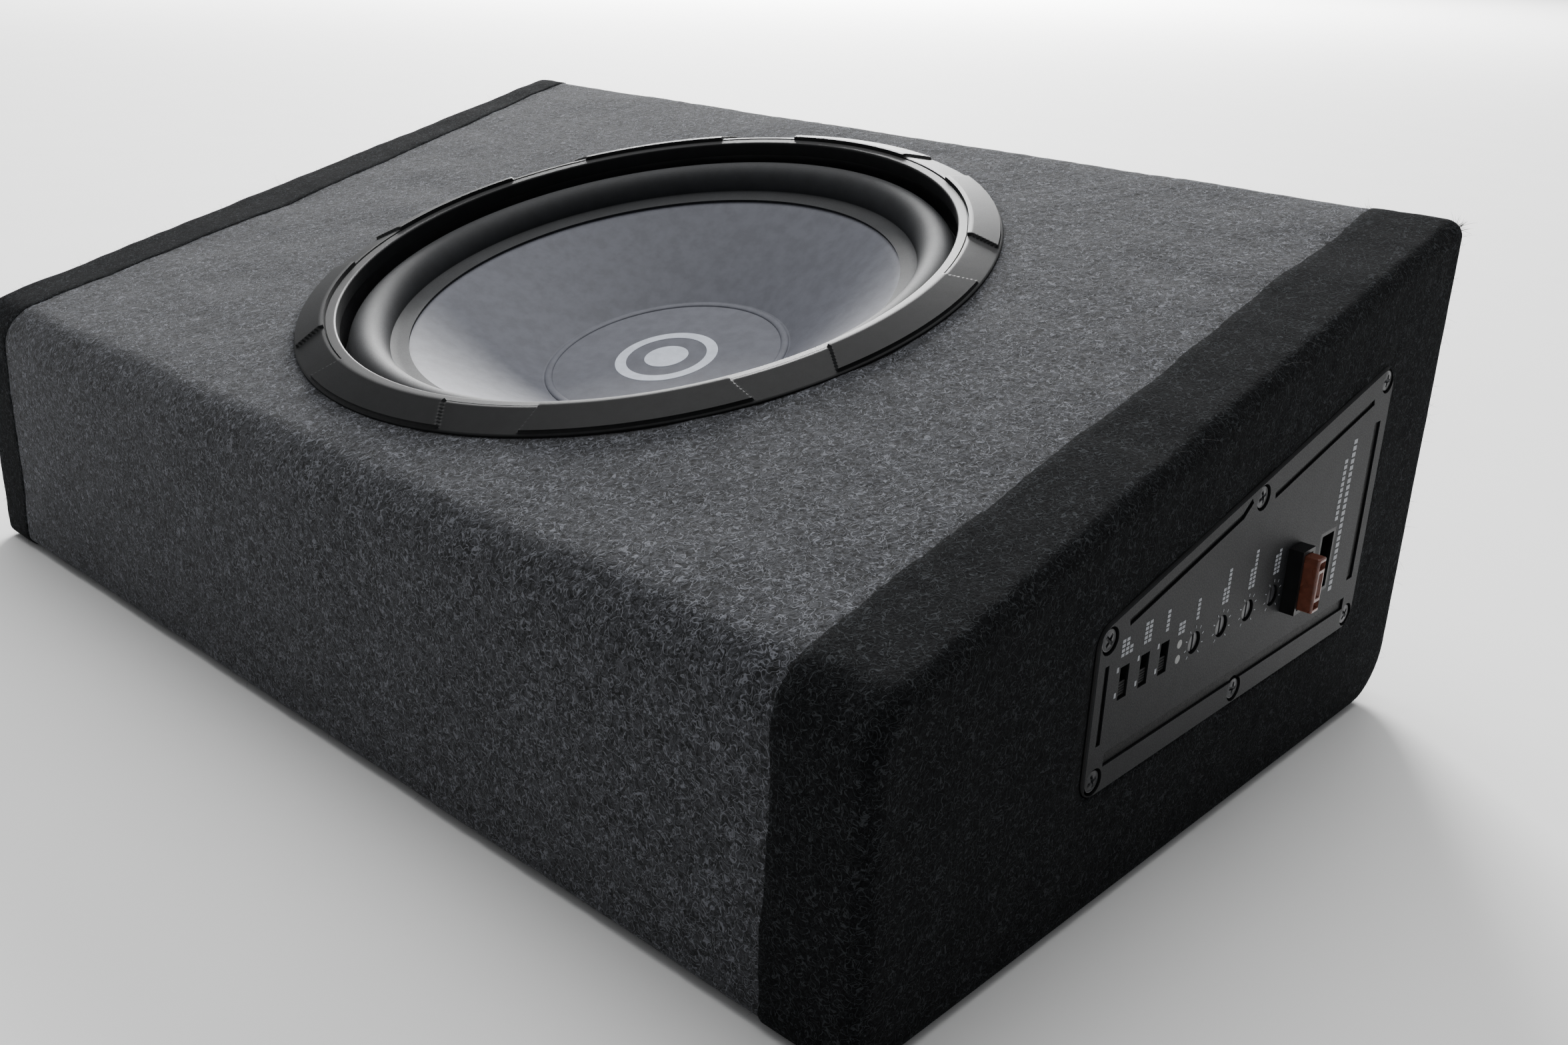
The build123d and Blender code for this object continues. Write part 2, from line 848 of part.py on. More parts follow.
def panel_screw_cuts(x, radius, depth):
    """Cut a hole of the given radius and depth, from the given plane inwards, at each panel screw."""
    with BuildSketch(Plane.YZ.offset(x)) as holes:
        with Locations(*panel_screw_places):
            Circle(radius)
    extrude(holes.sketch, amount=-depth, mode=Mode.SUBTRACT)


with BuildPart() as control_panel:
    extrude(panel_outline(0, panel_back), amount=panel_thickness)
    chamfer(control_panel.faces().sort_by(Axis.X)[-1].edges(), length=groove_depth)
    for width, run in groove_runs:
        with BuildSketch(Plane.YZ.offset(panel_front)) as groove:
            with BuildLine():
                Polyline(*[(panel_y(along), panel_low + up) for along, up in run])
            trace(line_width=width)
        extrude(amount=-groove_depth, mode=Mode.SUBTRACT)
    for run in top_groove_runs:
        with BuildSketch(Plane.YZ.offset(panel_front)) as groove:
            with BuildLine():
                Polyline(*[(panel_y(along), panel_top(panel_y(along)) - down) for along, down in run])
            trace(line_width=thin_groove)
        extrude(amount=-groove_depth, mode=Mode.SUBTRACT)
    with BuildSketch(Plane.YZ.offset(panel_back)) as apertures:
        with Locations(*switch_places):
            Rectangle(switch_slot_width, switch_slot_length)
        with Locations(*pot_places):
            Circle(pot_bore)
        with Locations(*led_places):
            Circle(led_radius)
        with Locations(fuse_centre):
            Rectangle(holder_neck_width, holder_neck_height)
        with Locations(socket_centre):
            Rectangle(socket_width, socket_height)
    extrude(amount=panel_thickness, mode=Mode.SUBTRACT)
    panel_screw_cuts(panel_front, panel_screw_recess, panel_front - panel_screw_seat)
    panel_screw_cuts(panel_front, panel_screw_shank + slide_gap, panel_thickness)
save(control_panel, "control_panel")

with BuildPart() as panel_gasket:
    extrude(panel_outline(panel_gasket_inset, end_board_face), amount=panel_gasket_thickness)
    extrude(
        panel_outline(panel_frame, end_board_face),
        amount=panel_gasket_thickness,
        mode=Mode.SUBTRACT,
    )
    panel_screw_cuts(panel_back, panel_screw_shank + slide_gap, panel_gasket_thickness)
save(panel_gasket, "panel_gasket")

with BuildPart() as panel_screws:
    for y, z in panel_screw_places:
        screw(
            Plane(origin=(panel_screw_seat, y, z), x_dir=(0, 1, 0), z_dir=(1, 0, 0)),
            panel_screw_head,
            panel_screw_head_height,
            panel_screw_shank,
            panel_screw_length,
        )
save(panel_screws, "panel_screws")

# ---------------------------------------------------------------- amplifier, controls
switch_names = ("turn_on", "input_level", "phase")
knob_length = switch_slot_length - switch_travel - 2 * slide_gap
knob_back = panel_back - switch_recess + slide_gap
slot_foot = slot_centre - switch_slot_length / 2
for name, (y, z) in zip(switch_names, switch_places):
    with BuildPart() as switch_body:
        with BuildSketch(Plane.YZ.offset(panel_back)):
            with Locations((y, circuit_top + switch_body_height / 2)):
                Rectangle(switch_body_width, switch_body_height)
        extrude(amount=-switch_body_depth)
        with BuildSketch(Plane.YZ.offset(panel_back)):
            with Locations((y, z)):
                Rectangle(switch_slot_width, switch_slot_length)
        extrude(amount=-switch_recess, mode=Mode.SUBTRACT)
    save(switch_body, f"{name}_switch")

    with BuildPart() as switch_knob:
        with BuildSketch(Plane.YZ.offset(knob_back)):
            with Locations((y, slot_foot + slide_gap + knob_length / 2)):
                Rectangle(switch_slot_width - 2 * slide_gap, knob_length)
        extrude(amount=panel_front - knob_short - knob_back)
        chamfer(switch_knob.faces().sort_by(Axis.X)[-1].edges(), length=slide_gap)
    save(switch_knob, f"{name}_knob")

shaft_front = panel_front - knob_short
shaft_back = shaft_front - shaft_length
with BuildPart() as control_pots:
    with BuildSketch(Plane.YZ.offset(panel_back)):
        with Locations(*[(y, circuit_top + pot_body_height / 2) for y, z in pot_places]):
            Rectangle(pot_body_width, pot_body_height)
    extrude(amount=-pot_body_depth)
    with BuildSketch(Plane.YZ.offset(panel_back)):
        with Locations(*pot_places):
            Circle(shaft_radius + shaft_fit)
    extrude(amount=shaft_back - slide_gap - panel_back, mode=Mode.SUBTRACT)
save(control_pots, "control_pots")

pot_names = ("gain", "bass_boost", "crossover", "subsonic")
for name, (y, z) in zip(pot_names, pot_places):
    with BuildPart() as pot_shaft:
        with BuildSketch(Plane.YZ.offset(shaft_back)):
            with Locations((y, z)):
                Circle(shaft_radius)
        extrude(amount=shaft_length)
        with BuildSketch(Plane.YZ.offset(shaft_front)):
            with Locations((y, z)):
                Rectangle(shaft_slot_width, 2 * shaft_radius)
        extrude(amount=-shaft_slot_depth, mode=Mode.SUBTRACT)
    save(pot_shaft, f"{name}_shaft")

with BuildPart() as power_leds:
    with BuildSketch(Plane.YZ.offset(panel_back - panel_thickness)):
        with Locations(*led_places):
            Circle(led_radius)
    extrude(amount=2 * panel_thickness)
save(power_leds, "power_leds")

# ---------------------------------------------------------------- amplifier, fuse and socket
holder_front = panel_front + holder_proud
fuse_back = holder_front - holder_grip
holder_back = fuse_back - fuse_blade_length - holder_wall
blade_places = [
    (fuse_centre[0], fuse_centre[1] + side * fuse_blade_pitch / 2) for side in (-1, 1)
]
with BuildPart() as fuse_holder:
    with BuildSketch(Plane.YZ.offset(holder_back)):
        with Locations(fuse_centre):
            Rectangle(holder_neck_width, holder_neck_height)
    extrude(amount=panel_front - holder_back)
    with BuildSketch(Plane.YZ.offset(panel_front)):
        with Locations(fuse_centre):
            Rectangle(holder_width, holder_height)
    extrude(amount=holder_proud)
    with BuildSketch(Plane.YZ.offset(holder_front)):
        with Locations(fuse_centre):
            Rectangle(fuse_body_thickness + 2 * fuse_fit, fuse_body_height + 2 * fuse_fit)
    extrude(amount=-holder_grip - fuse_fit, mode=Mode.SUBTRACT)
    with BuildSketch(Plane.YZ.offset(holder_front)):
        with Locations(*blade_places):
            Rectangle(fuse_blade_thickness + 2 * fuse_fit, fuse_blade_width + 2 * fuse_fit)
    extrude(amount=holder_back + holder_wall - fuse_fit - holder_front, mode=Mode.SUBTRACT)
save(fuse_holder, "fuse_holder")

with BuildPart() as fuse_body:
    with BuildSketch(Plane.YZ.offset(fuse_back)):
        with Locations(fuse_centre):
            Rectangle(fuse_body_thickness, fuse_body_height)
    extrude(amount=fuse_body_depth)
    chamfer(fuse_body.faces().sort_by(Axis.X)[-1].edges(), length=groove_depth)
save(fuse_body, "fuse_body")

with BuildPart() as fuse_blades:
    with BuildSketch(Plane.YZ.offset(fuse_back)):
        with Locations(*blade_places):
            Rectangle(fuse_blade_thickness, fuse_blade_width)
    extrude(amount=-fuse_blade_length)
save(fuse_blades, "fuse_blades")

socket_rear = panel_front - socket_depth
socket_floor = socket_rear + socket_back
pin_places = [
    (socket_centre[0] + column * pin_pitch / 2, socket_centre[1] + pin_pitch * (row - (pin_rows - 1) / 2))
    for column in (-1, 1)
    for row in range(pin_rows)
]
with BuildPart() as harness_socket:
    with BuildSketch(Plane.YZ.offset(socket_rear)):
        with Locations(socket_centre):
            Rectangle(socket_width, socket_height)
    extrude(amount=socket_depth)
    with BuildSketch(Plane.YZ.offset(socket_floor)):
        with Locations(socket_centre):
            Rectangle(socket_width - 2 * socket_wall, socket_height - 2 * socket_wall)
    extrude(amount=socket_depth, mode=Mode.SUBTRACT)
    with BuildSketch(Plane.YZ.offset(socket_rear)):
        with Locations(*pin_places):
            Circle(pin_radius)
    extrude(amount=socket_back, mode=Mode.SUBTRACT)
save(harness_socket, "harness_socket")

with BuildPart() as harness_pins:
    with BuildSketch(Plane.YZ.offset(socket_rear - pin_tail)):
        with Locations(*pin_places):
            Circle(pin_radius)
    extrude(amount=pin_tail + socket_back + pin_reach)
save(harness_pins, "harness_pins")

# ---------------------------------------------------------------- amplifier, circuit
cutout_near = panel_y(panel_frame)
cutout_far = panel_y(panel_width - panel_frame)
notch_near = fuse_centre[0] - holder_neck_width / 2 - part_gap
circuit_plane = Plane.XY.offset(circuit_top)


def on_circuit(back, along):
    """A point of the circuit board, from its rear edge and the panel's near edge."""
    return (circuit_back + back, panel_y(along))


with BuildPart() as circuit_board:
    add(
        slab(
            circuit_back,
            circuit_front,
            cutout_near + part_gap,
            cutout_far - part_gap,
            circuit_top - circuit_thickness,
            circuit_top,
        )
    )
    add(
        slab(
            circuit_front - circuit_notch_depth,
            far_out,
            notch_near,
            far_out,
            0,
            far_out,
        ),
        mode=Mode.SUBTRACT,
    )
save(circuit_board, "circuit_board")

sink_near = panel_y(heat_sink_near)
sink_far = sink_near + heat_sink_width
with BuildPart() as heat_sink:
    add(
        slab(
            circuit_back - heat_sink_base,
            circuit_back,
            sink_near,
            sink_far,
            circuit_top - heat_sink_drop,
            circuit_top + heat_sink_height,
        )
    )
    fin_pitch = (heat_sink_width - fin_thickness) / (fin_count - 1)
    for index in range(fin_count):
        fin_near = sink_near + fin_pitch * index
        add(
            slab(
                circuit_back - heat_sink_base - fin_length,
                circuit_back - heat_sink_base,
                fin_near,
                fin_near + fin_thickness,
                circuit_top - heat_sink_drop,
                circuit_top + heat_sink_height,
            )
        )
save(heat_sink, "heat_sink")

transistor_places = [
    (circuit_back + transistor_thickness / 2, sink_near + first_transistor + transistor_pitch * index)
    for index in range(transistor_count)
]
with BuildPart() as power_transistors:
    with BuildSketch(circuit_plane):
        with Locations(*transistor_places):
            Rectangle(transistor_thickness, transistor_width)
    extrude(amount=transistor_height)
save(power_transistors, "power_transistors")

clamp_front = circuit_back + transistor_thickness
with BuildPart() as transistor_clamp:
    add(
        slab(
            clamp_front,
            clamp_front + clamp_thickness,
            transistor_places[0][1] - transistor_width,
            transistor_places[-1][1] + transistor_width,
            circuit_top + transistor_height / 2,
            circuit_top + transistor_height / 2 + clamp_height,
        )
    )
save(transistor_clamp, "transistor_clamp")

core_centre = on_circuit(*core_place)
core_foot = circuit_top + turn_thickness
with BuildPart() as transformer_core:
    with BuildSketch(Plane.XY.offset(core_foot)):
        with Locations(core_centre):
            Circle(core_radius)
            Circle(core_bore, mode=Mode.SUBTRACT)
    extrude(amount=core_height)
save(transformer_core, "transformer_core")

core_width = core_radius - core_bore
with BuildPart() as transformer_winding:
    for index in range(turn_count):
        turned = radians(360 / turn_count * index)
        outwards = Vector(cos(turned), sin(turned), 0)
        middle = (core_radius + core_bore) / 2
        place = Plane(
            origin=Vector(*core_centre, core_foot + core_height / 2) + outwards * middle,
            x_dir=outwards,
            z_dir=(sin(turned), -cos(turned), 0),
        )
        with BuildSketch(place):
            Rectangle(core_width + 2 * turn_thickness, core_height + 2 * turn_thickness)
            Rectangle(core_width + 2 * slide_gap, core_height, mode=Mode.SUBTRACT)
        extrude(amount=turn_thickness / 2, both=True)
save(transformer_winding, "transformer_winding")

with BuildPart() as filter_capacitors:
    with BuildSketch(circuit_plane):
        for index in range(capacitor_count):
            with Locations(on_circuit(capacitor_place[0], capacitor_place[1] + capacitor_pitch * index)):
                Circle(capacitor_radius)
    extrude(amount=capacitor_height)
save(filter_capacitors, "filter_capacitors")

output_length, output_width, output_height = output_size
with BuildPart() as output_terminal:
    with BuildSketch(circuit_plane):
        with Locations(on_circuit(output_length / 2 + output_gap, output_place)):
            Rectangle(output_length, output_width)
    extrude(amount=output_height)
save(output_terminal, "output_terminal")

with BuildPart() as circuit_brackets:
    for along in bracket_places:
        near = panel_y(along)
        board_foot = circuit_top - circuit_thickness
        add(
            slab(
                panel_back - bracket_thickness,
                panel_back,
                near,
                near + bracket_width,
                board_foot - bracket_drop,
                board_foot,
            )
        )
        add(
            slab(
                panel_back - bracket_reach,
                panel_back,
                near,
                near + bracket_width,
                board_foot - bracket_thickness,
                board_foot,
            )
        )
save(circuit_brackets, "circuit_brackets")

# ---------------------------------------------------------------- leads from the amplifier to the driver
output_face = circuit_back + output_gap
output_y = panel_y(output_place)
lead_start = driver_point(terminal_radius + terminal_thickness / 2, 0, -terminal_depth)
lead_end = Vector(output_face, output_y, circuit_top + output_height / 2)
lead_middle = [
    lead_start + Vector(lead_first_run, 0, 0),
    *[Vector(*point) for point in lead_route],
    lead_end - Vector(lead_last_run, 0, 0),
]
for name, side in (("negative", -1), ("positive", 1)):
    aside = Vector(0, side * lead_spread, 0)
    with BuildPart() as speaker_lead:
        lead([point + aside for point in (lead_start, *lead_middle, lead_end)], lead_diameter)
    save(speaker_lead, f"{name}_speaker_lead")
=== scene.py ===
"""Powered car subwoofer: felt, plastics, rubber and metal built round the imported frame.

Shapes are worked out in millimetres in the frame's own axes: X runs along the box towards the
amplifier panel, Y from the low side to the tall side, Z up. make_piece turns them into metres.
"""

import json
from math import cos, pi, radians, sin
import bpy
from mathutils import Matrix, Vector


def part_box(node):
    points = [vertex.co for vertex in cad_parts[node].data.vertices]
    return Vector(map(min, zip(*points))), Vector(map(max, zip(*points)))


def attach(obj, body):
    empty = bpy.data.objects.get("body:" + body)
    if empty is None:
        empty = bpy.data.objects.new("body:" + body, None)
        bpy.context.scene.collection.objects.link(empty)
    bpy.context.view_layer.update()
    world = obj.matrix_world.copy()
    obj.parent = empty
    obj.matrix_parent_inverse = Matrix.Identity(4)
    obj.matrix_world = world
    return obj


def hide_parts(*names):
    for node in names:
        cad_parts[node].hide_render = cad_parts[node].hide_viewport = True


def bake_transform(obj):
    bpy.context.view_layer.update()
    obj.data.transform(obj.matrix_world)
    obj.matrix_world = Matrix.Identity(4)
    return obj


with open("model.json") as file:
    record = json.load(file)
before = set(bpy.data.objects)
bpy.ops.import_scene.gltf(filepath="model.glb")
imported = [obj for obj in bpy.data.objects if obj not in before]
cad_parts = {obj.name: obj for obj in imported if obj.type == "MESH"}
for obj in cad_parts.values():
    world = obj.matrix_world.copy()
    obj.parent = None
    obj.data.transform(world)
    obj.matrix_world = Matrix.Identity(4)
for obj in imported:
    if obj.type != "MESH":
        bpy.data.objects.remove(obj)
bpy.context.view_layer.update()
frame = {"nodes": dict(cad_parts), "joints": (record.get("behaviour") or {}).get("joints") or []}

from types import SimpleNamespace

import bmesh
import bpy
import numpy as np
from bpy.props import FloatProperty, FloatVectorProperty, IntProperty, PointerProperty
from mathutils import Matrix, Vector

bl_info = {
    "name": "Powered car subwoofer",
    "version": (1, 0, 0),
    "blender": (4, 5, 0),
    "location": "3D View > Sidebar > Subwoofer",
    "description": "Builds a carpeted subwoofer box, its woofer and its amplifier panel round a CAD frame",
    "category": "Object",
}

MM = 0.001
SHARP_ANGLE = radians(38)


def linear(colour):
    """Linear red, green and blue of an sRGB hex colour such as #808080."""
    parts = np.array([int(colour[i:i + 2], 16) for i in (1, 3, 5)]) / 255
    return tuple(np.where(parts <= 0.04045, parts / 12.92, ((parts + 0.055) / 1.055) ** 2.4))


def box_mm(node):
    """Lowest and highest corner of a CAD node in millimetres."""
    low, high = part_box(node)
    return np.array(low) / MM, np.array(high) / MM


RING_HIGH, PANEL_HIGH, CARPET_HIGH, RIGHT_END_HIGH = (
    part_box(node)[1] for node in ("trim_ring", "control_panel", "grey_carpet", "right_end_carpet")
)
CONE_JOINT = next(joint for joint in frame["joints"] if joint["child"] == "cone_assembly")


# ---------------------------------------------------------------- properties
def length(name, description, default):
    """A length property in metres."""
    return FloatProperty(name=name, description=description, default=default, unit="LENGTH", min=0.0)


def colour(name, description, default):
    """A colour property from an sRGB hex value."""
    return FloatVectorProperty(
        name=name, description=description, default=linear(default), subtype="COLOR", min=0, max=1
    )


class SubwooferEnclosureSizes(bpy.types.PropertyGroup):
    """Sizes of the carpeted box."""

    low_height: length("Low side", "Height of the box at its low side", 0.105)
    tall_height: length("Tall side", "Height of the box at its tall side, before its edge is rounded", 0.185)
    half_width: length("Half width", "Half of the box from low to tall side", CARPET_HIGH.y)
    half_length: length("Half length", "Half of the box from end to end", RIGHT_END_HIGH.x)
    carpet: length("Felt", "Thickness of the carpet felt", 0.003)
    low_lid_radius: length("Low lid edge", "Radius where the lid meets the low side", 0.018)
    tall_foot_radius: length("Tall foot edge", "Radius under the tall side", 0.022)
    plain_edge_radius: length("Other edges", "Radius of the other long edges", 0.006)
    end_edge_radius: length("End edges", "Radius of the edges round both ends", 0.0055)
    right_wrap: length("Right wrap", "Reach of the black felt round the panel end", 0.033)
    overlap: length("Overlap", "How far the grey felt runs under the black", 0.005)
    proud: length("Proud", "How far the black felt stands above the grey", 0.0004)


class SubwooferDriverSizes(bpy.types.PropertyGroup):
    """Sizes of the woofer."""

    up_slope: length("Up the slope", "Distance from the lid's middle to the woofer's axis", 0.003)
    ring_radius: length("Ring", "Outer radius of the trim ring", RING_HIGH.x)
    ring_height: length("Ring height", "Height of the trim ring", 0.005)
    ring_bevel: length("Bevel top", "Radius where the ring's bevel ends", 0.1258)
    ring_lip: length("Ring lip", "Inner radius of the trim ring", 0.1203)
    block_rise: length("Block rise", "Height of the raised blocks on the ring", 0.0012)
    block_angle: FloatProperty(
        name="Block angle", description="Angle of one raised block", default=radians(31), subtype="ANGLE"
    )
    block_count: IntProperty(name="Blocks", description="Raised blocks round the ring", default=8, min=1)
    crest_radius: length("Roll crest", "Radius of the highest line of the surround", 0.1118)
    roll_radius: length("Roll", "Radius of the surround's half roll", 0.008)
    roll_wall: length("Surround wall", "Thickness of the surround", 0.001)
    landing: length("Landing", "Depth of the surround's seat below the carpet", 0.0126)
    cone_radius: length("Cone", "Radius of the cone at its fold line", 0.097)
    cone_line: length("Cone depth", "Depth of the cone's fold line below the carpet", 0.014)
    cone_angle: FloatProperty(
        name="Cone angle", description="Slope of the cone", default=radians(29.8), subtype="ANGLE"
    )
    cap_radius: length("Cap", "Outer radius of the dust cap", 0.0505)
    cap_disc: length("Cap disc", "Radius of the flat of the dust cap", 0.0465)
    coil_radius: length("Coil", "Outer radius of the coil former", 0.0254)
    spider_radius: length("Spider", "Outer radius of the spider", 0.064)
    spider_depth: length("Spider depth", "Depth of the spider below the carpet", 0.060)


class SubwooferColours(bpy.types.PropertyGroup):
    """Colours that change the object's looks."""

    felt_dark: colour("Felt, dark fibres", "Darkest fibres of the grey felt", "#0a0b0c")
    felt_light: colour("Felt, light fibres", "Lightest fibres of the grey felt", "#64666c")
    felt_black: colour("Black felt", "Felt of both ends", "#0d0e0f")
    ring: colour("Trim ring", "Moulded ring round the woofer", "#121314")
    rubber: colour("Surround", "Rubber roll round the cone", "#1a1c1f")
    cone: colour("Cone", "Moulded cone and cap", "#54565f")
    emblem: colour("Emblem", "Printed ring and dot on the cap", "#c6ccd8")
    panel: colour("Panel", "Amplifier panel", "#191a1c")
    legend: colour("Legend", "Printed marks of the panel", "#85888d")
    fuse: colour("Fuse", "Tinted body of the fuse", "#6e3c2c")
    floor: colour("Floor", "Sweep that the box stands on", "#efefee")


def sizes(group):
    """All lengths of a property group in millimetres, and its other values as they are."""
    found = {}
    for key, rule in group.bl_rna.properties.items():
        if key in ("rna_type", "name"):
            continue
        value = getattr(group, key)
        found[key] = value / MM if getattr(rule, "unit", "") == "LENGTH" else value
    return SimpleNamespace(**found)


def enclosure():
    """The box's sizes in millimetres."""
    return sizes(bpy.context.scene.subwoofer_enclosure)


def driver():
    """The woofer's sizes in millimetres, with its centre and its three directions."""
    found = sizes(bpy.context.scene.subwoofer_driver)
    box = enclosure()
    normal = np.array(CONE_JOINT["axis"], float)
    found.outwards = normal / np.linalg.norm(normal)
    found.along = np.array([1.0, 0.0, 0.0])
    found.uphill = np.cross(found.outwards, found.along)
    middle = np.array([0.0, 0.0, (box.low_height + box.tall_height) / 2])
    found.centre = middle + found.uphill * found.up_slope
    return found


# ---------------------------------------------------------------- meshes
def unit(vectors):
    """Vectors along the last axis, each divided by its length."""
    return vectors / np.linalg.norm(vectors, axis=-1, keepdims=True)


def spin(vector, angle):
    """A plane vector turned anticlockwise by an array of angles."""
    x, y = vector
    return np.stack([x * np.cos(angle) - y * np.sin(angle), x * np.sin(angle) + y * np.cos(angle)], axis=-1)


def grid_faces(rows, columns, wrap_rows=False, wrap_columns=False):
    """Quads of a grid of rows by columns, closed on itself either way if asked."""
    row = np.arange(rows if wrap_rows else rows - 1)
    column = np.arange(columns if wrap_columns else columns - 1)
    row, column = (part.ravel() for part in np.meshgrid(row, column, indexing="ij"))
    down, right = (row + 1) % rows, (column + 1) % columns
    corners = [row * columns + column, down * columns + column, down * columns + right, row * columns + right]
    return np.stack(corners, axis=1)


def faces_out(points, quads, guide=None):
    """The same quads, each turned to look along its guide, or all together away from the middle.

    A quad's direction is the cross product of its diagonals. The guide holds a direction for each
    point. Without one, the sum over all quads of middle times direction is the enclosed volume.
    """
    diagonal = points[quads[:, 2]] - points[quads[:, 0]]
    other = points[quads[:, 3]] - points[quads[:, 1]]
    facing = np.cross(diagonal, other)
    if guide is not None:
        wrong = np.einsum("ij,ij->i", facing, guide[quads].mean(axis=1)) < 0
        return np.where(wrong[:, None], quads[:, ::-1], quads)
    middles = points[quads].mean(axis=1) - points.mean(axis=0)
    return quads if np.einsum("ij,ij->", facing, middles) > 0 else quads[:, ::-1]


def merge_doubles(mesh, distance, turn_out=False):
    """Joins points of a mesh that lie within a distance in metres, and turns its faces out if asked."""
    work = bmesh.new()
    work.from_mesh(mesh)
    bmesh.ops.remove_doubles(work, verts=work.verts, dist=distance)
    if turn_out:
        bmesh.ops.recalc_face_normals(work, faces=work.faces)
    work.to_mesh(mesh)
    work.free()


def finished_object(name, mesh, finish, folds=True):
    """An object of a mesh in one finish, shaded smooth but for its sharp folds."""
    mesh.shade_smooth()
    if folds:
        mesh.set_sharp_from_angle(angle=SHARP_ANGLE)
    mesh.materials.append(finish)
    piece = bpy.data.objects.new(name, mesh)
    bpy.context.scene.collection.objects.link(piece)
    return piece


def make_piece(name, points, faces, finish, body="root", node=(), weld=False, ride=True):
    """A mesh object from points in millimetres and faces, hung on its body's empty when it rides, with the
    CAD nodes it stands for hidden.
    """
    mesh = bpy.data.meshes.new(name)
    mesh.from_pydata((np.asarray(points) * MM).tolist(), [], np.asarray(faces).tolist())
    if weld:
        merge_doubles(mesh, 1e-7, turn_out=True)
    mesh.validate()
    piece = finished_object(name, mesh, finish)
    if ride:
        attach(piece, body)
    if node:
        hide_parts(*node)
    return piece


def rounded(corners, radii, arc_steps=6, cuts=None):
    """A closed outline with arcs at its corners, running anticlockwise.

    Each arc touches both runs at the radius times the tangent of half the turn from the corner.
    cuts gives, for each run, the distances from its start at which it has points of its own.
    Returns the points, their outward directions, and each point's run, or -1 on an arc.
    """
    corners = np.asarray(corners, float)
    radii = np.broadcast_to(np.asarray(radii, float), (len(corners),))
    into = unit(corners - np.roll(corners, 1, axis=0))
    out = np.roll(into, -1, axis=0)
    bend = np.arctan2(into[:, 0] * out[:, 1] - into[:, 1] * out[:, 0], (into * out).sum(axis=1))
    reach = radii * np.abs(np.tan(bend / 2))
    points, normals, runs = [], [], []
    for index, corner in enumerate(corners):
        shares = np.linspace(0, 1, arc_steps + 1) if radii[index] > 0 else np.array([0.5])
        facing = np.array([into[index][1], -into[index][0]])
        signed = radii[index] * np.sign(bend[index])
        arc = spin(facing, bend[index] * shares)
        points.append(corner - into[index] * reach[index] - facing * signed + arc * signed)
        normals.append(arc)
        runs.append(np.full(len(arc), -1))
        if cuts is not None:
            places = np.asarray(cuts[index], float)
            start = corner + out[index] * reach[index]
            points.append(start + places[:, None] * out[index])
            normals.append(np.tile([out[index][1], -out[index][0]], (len(places), 1)))
            runs.append(np.full(len(places), index))
    return np.concatenate(points), np.concatenate(normals), np.concatenate(runs)


def even_cuts(run, step):
    """Distances that divide a run of that length into equal parts no longer than the step."""
    return np.linspace(0, run, int(np.ceil(run / step)) + 1)[1:-1]


def waves(points, size, amplitude, seed):
    """A smooth random swell: sines across the points in seeded directions, of about the given size."""
    draw = np.random.default_rng(seed)
    total = np.zeros(len(points))
    for _ in range(9):
        direction = unit(draw.normal(size=points.shape[1]))
        stretch = 2 * pi / (size * draw.uniform(0.7, 1.6))
        total += np.sin(points @ direction * stretch + draw.uniform(0, 2 * pi))
    return amplitude * total / 3


# ---------------------------------------------------------------- the box's outline
def box_corners(box):
    """Corners of the box's section as (y, z), anticlockwise from the low foot, and their radii."""
    corners = [
        (-box.half_width, 0),
        (box.half_width, 0),
        (box.half_width, box.tall_height),
        (-box.half_width, box.low_height),
    ]
    radii = [box.plain_edge_radius, box.tall_foot_radius, box.plain_edge_radius, box.low_lid_radius]
    return np.array(corners, float), np.array(radii)


def run_lengths(corners, radii):
    """Length of each straight run that the arcs leave, and where each arc begins before its corner."""
    sides = np.roll(corners, -1, axis=0) - corners
    along = unit(sides)
    before = np.roll(along, 1, axis=0)
    bend = np.arctan2(before[:, 0] * along[:, 1] - before[:, 1] * along[:, 0], (before * along).sum(axis=1))
    reach = radii * np.tan(bend / 2)
    return np.linalg.norm(sides, axis=1) - reach - np.roll(reach, -1), reach


def resampled(loop, count):
    """A closed outline with that many points, evenly spaced along it."""
    closed = np.concatenate([loop, loop[:1]])
    lengths = np.concatenate([[0], np.cumsum(np.linalg.norm(np.diff(closed, axis=0), axis=1))])
    wanted = np.linspace(0, lengths[-1], count, endpoint=False)
    return np.stack([np.interp(wanted, lengths, closed[:, axis]) for axis in range(2)], axis=1)


def felt_swell(points):
    """Soft swells of glued felt: the same everywhere for the same place, so that layers stay apart."""
    return waves(points, 34, 0.16, 3) + waves(points, 9, 0.1, 4)


def box_outline(box, step):
    """The box's section with points about a step apart, and its arc lengths from the low foot."""
    corners, radii = box_corners(box)
    runs, _ = run_lengths(corners, radii)
    points, normals, _ = rounded(corners, radii, 8, [even_cuts(run, step) for run in runs])
    steps = np.linalg.norm(np.diff(points, axis=0, append=points[:1]), axis=1)
    return points, normals, np.concatenate([[0], np.cumsum(steps)[:-1]]), steps.sum()


# ---------------------------------------------------------------- material helpers
def add_node(tree, kind, settings=None, links=None):
    """Adds a node; settings fill its sockets or attributes by name, links join sockets to outputs."""
    made = tree.nodes.new(kind)
    for key, value in (settings or {}).items():
        if isinstance(key, int) or key in made.inputs:
            made.inputs[key].default_value = value
        else:
            setattr(made, key, value)
    for key, source in (links or {}).items():
        tree.links.new(source, made.inputs[key])
    return made


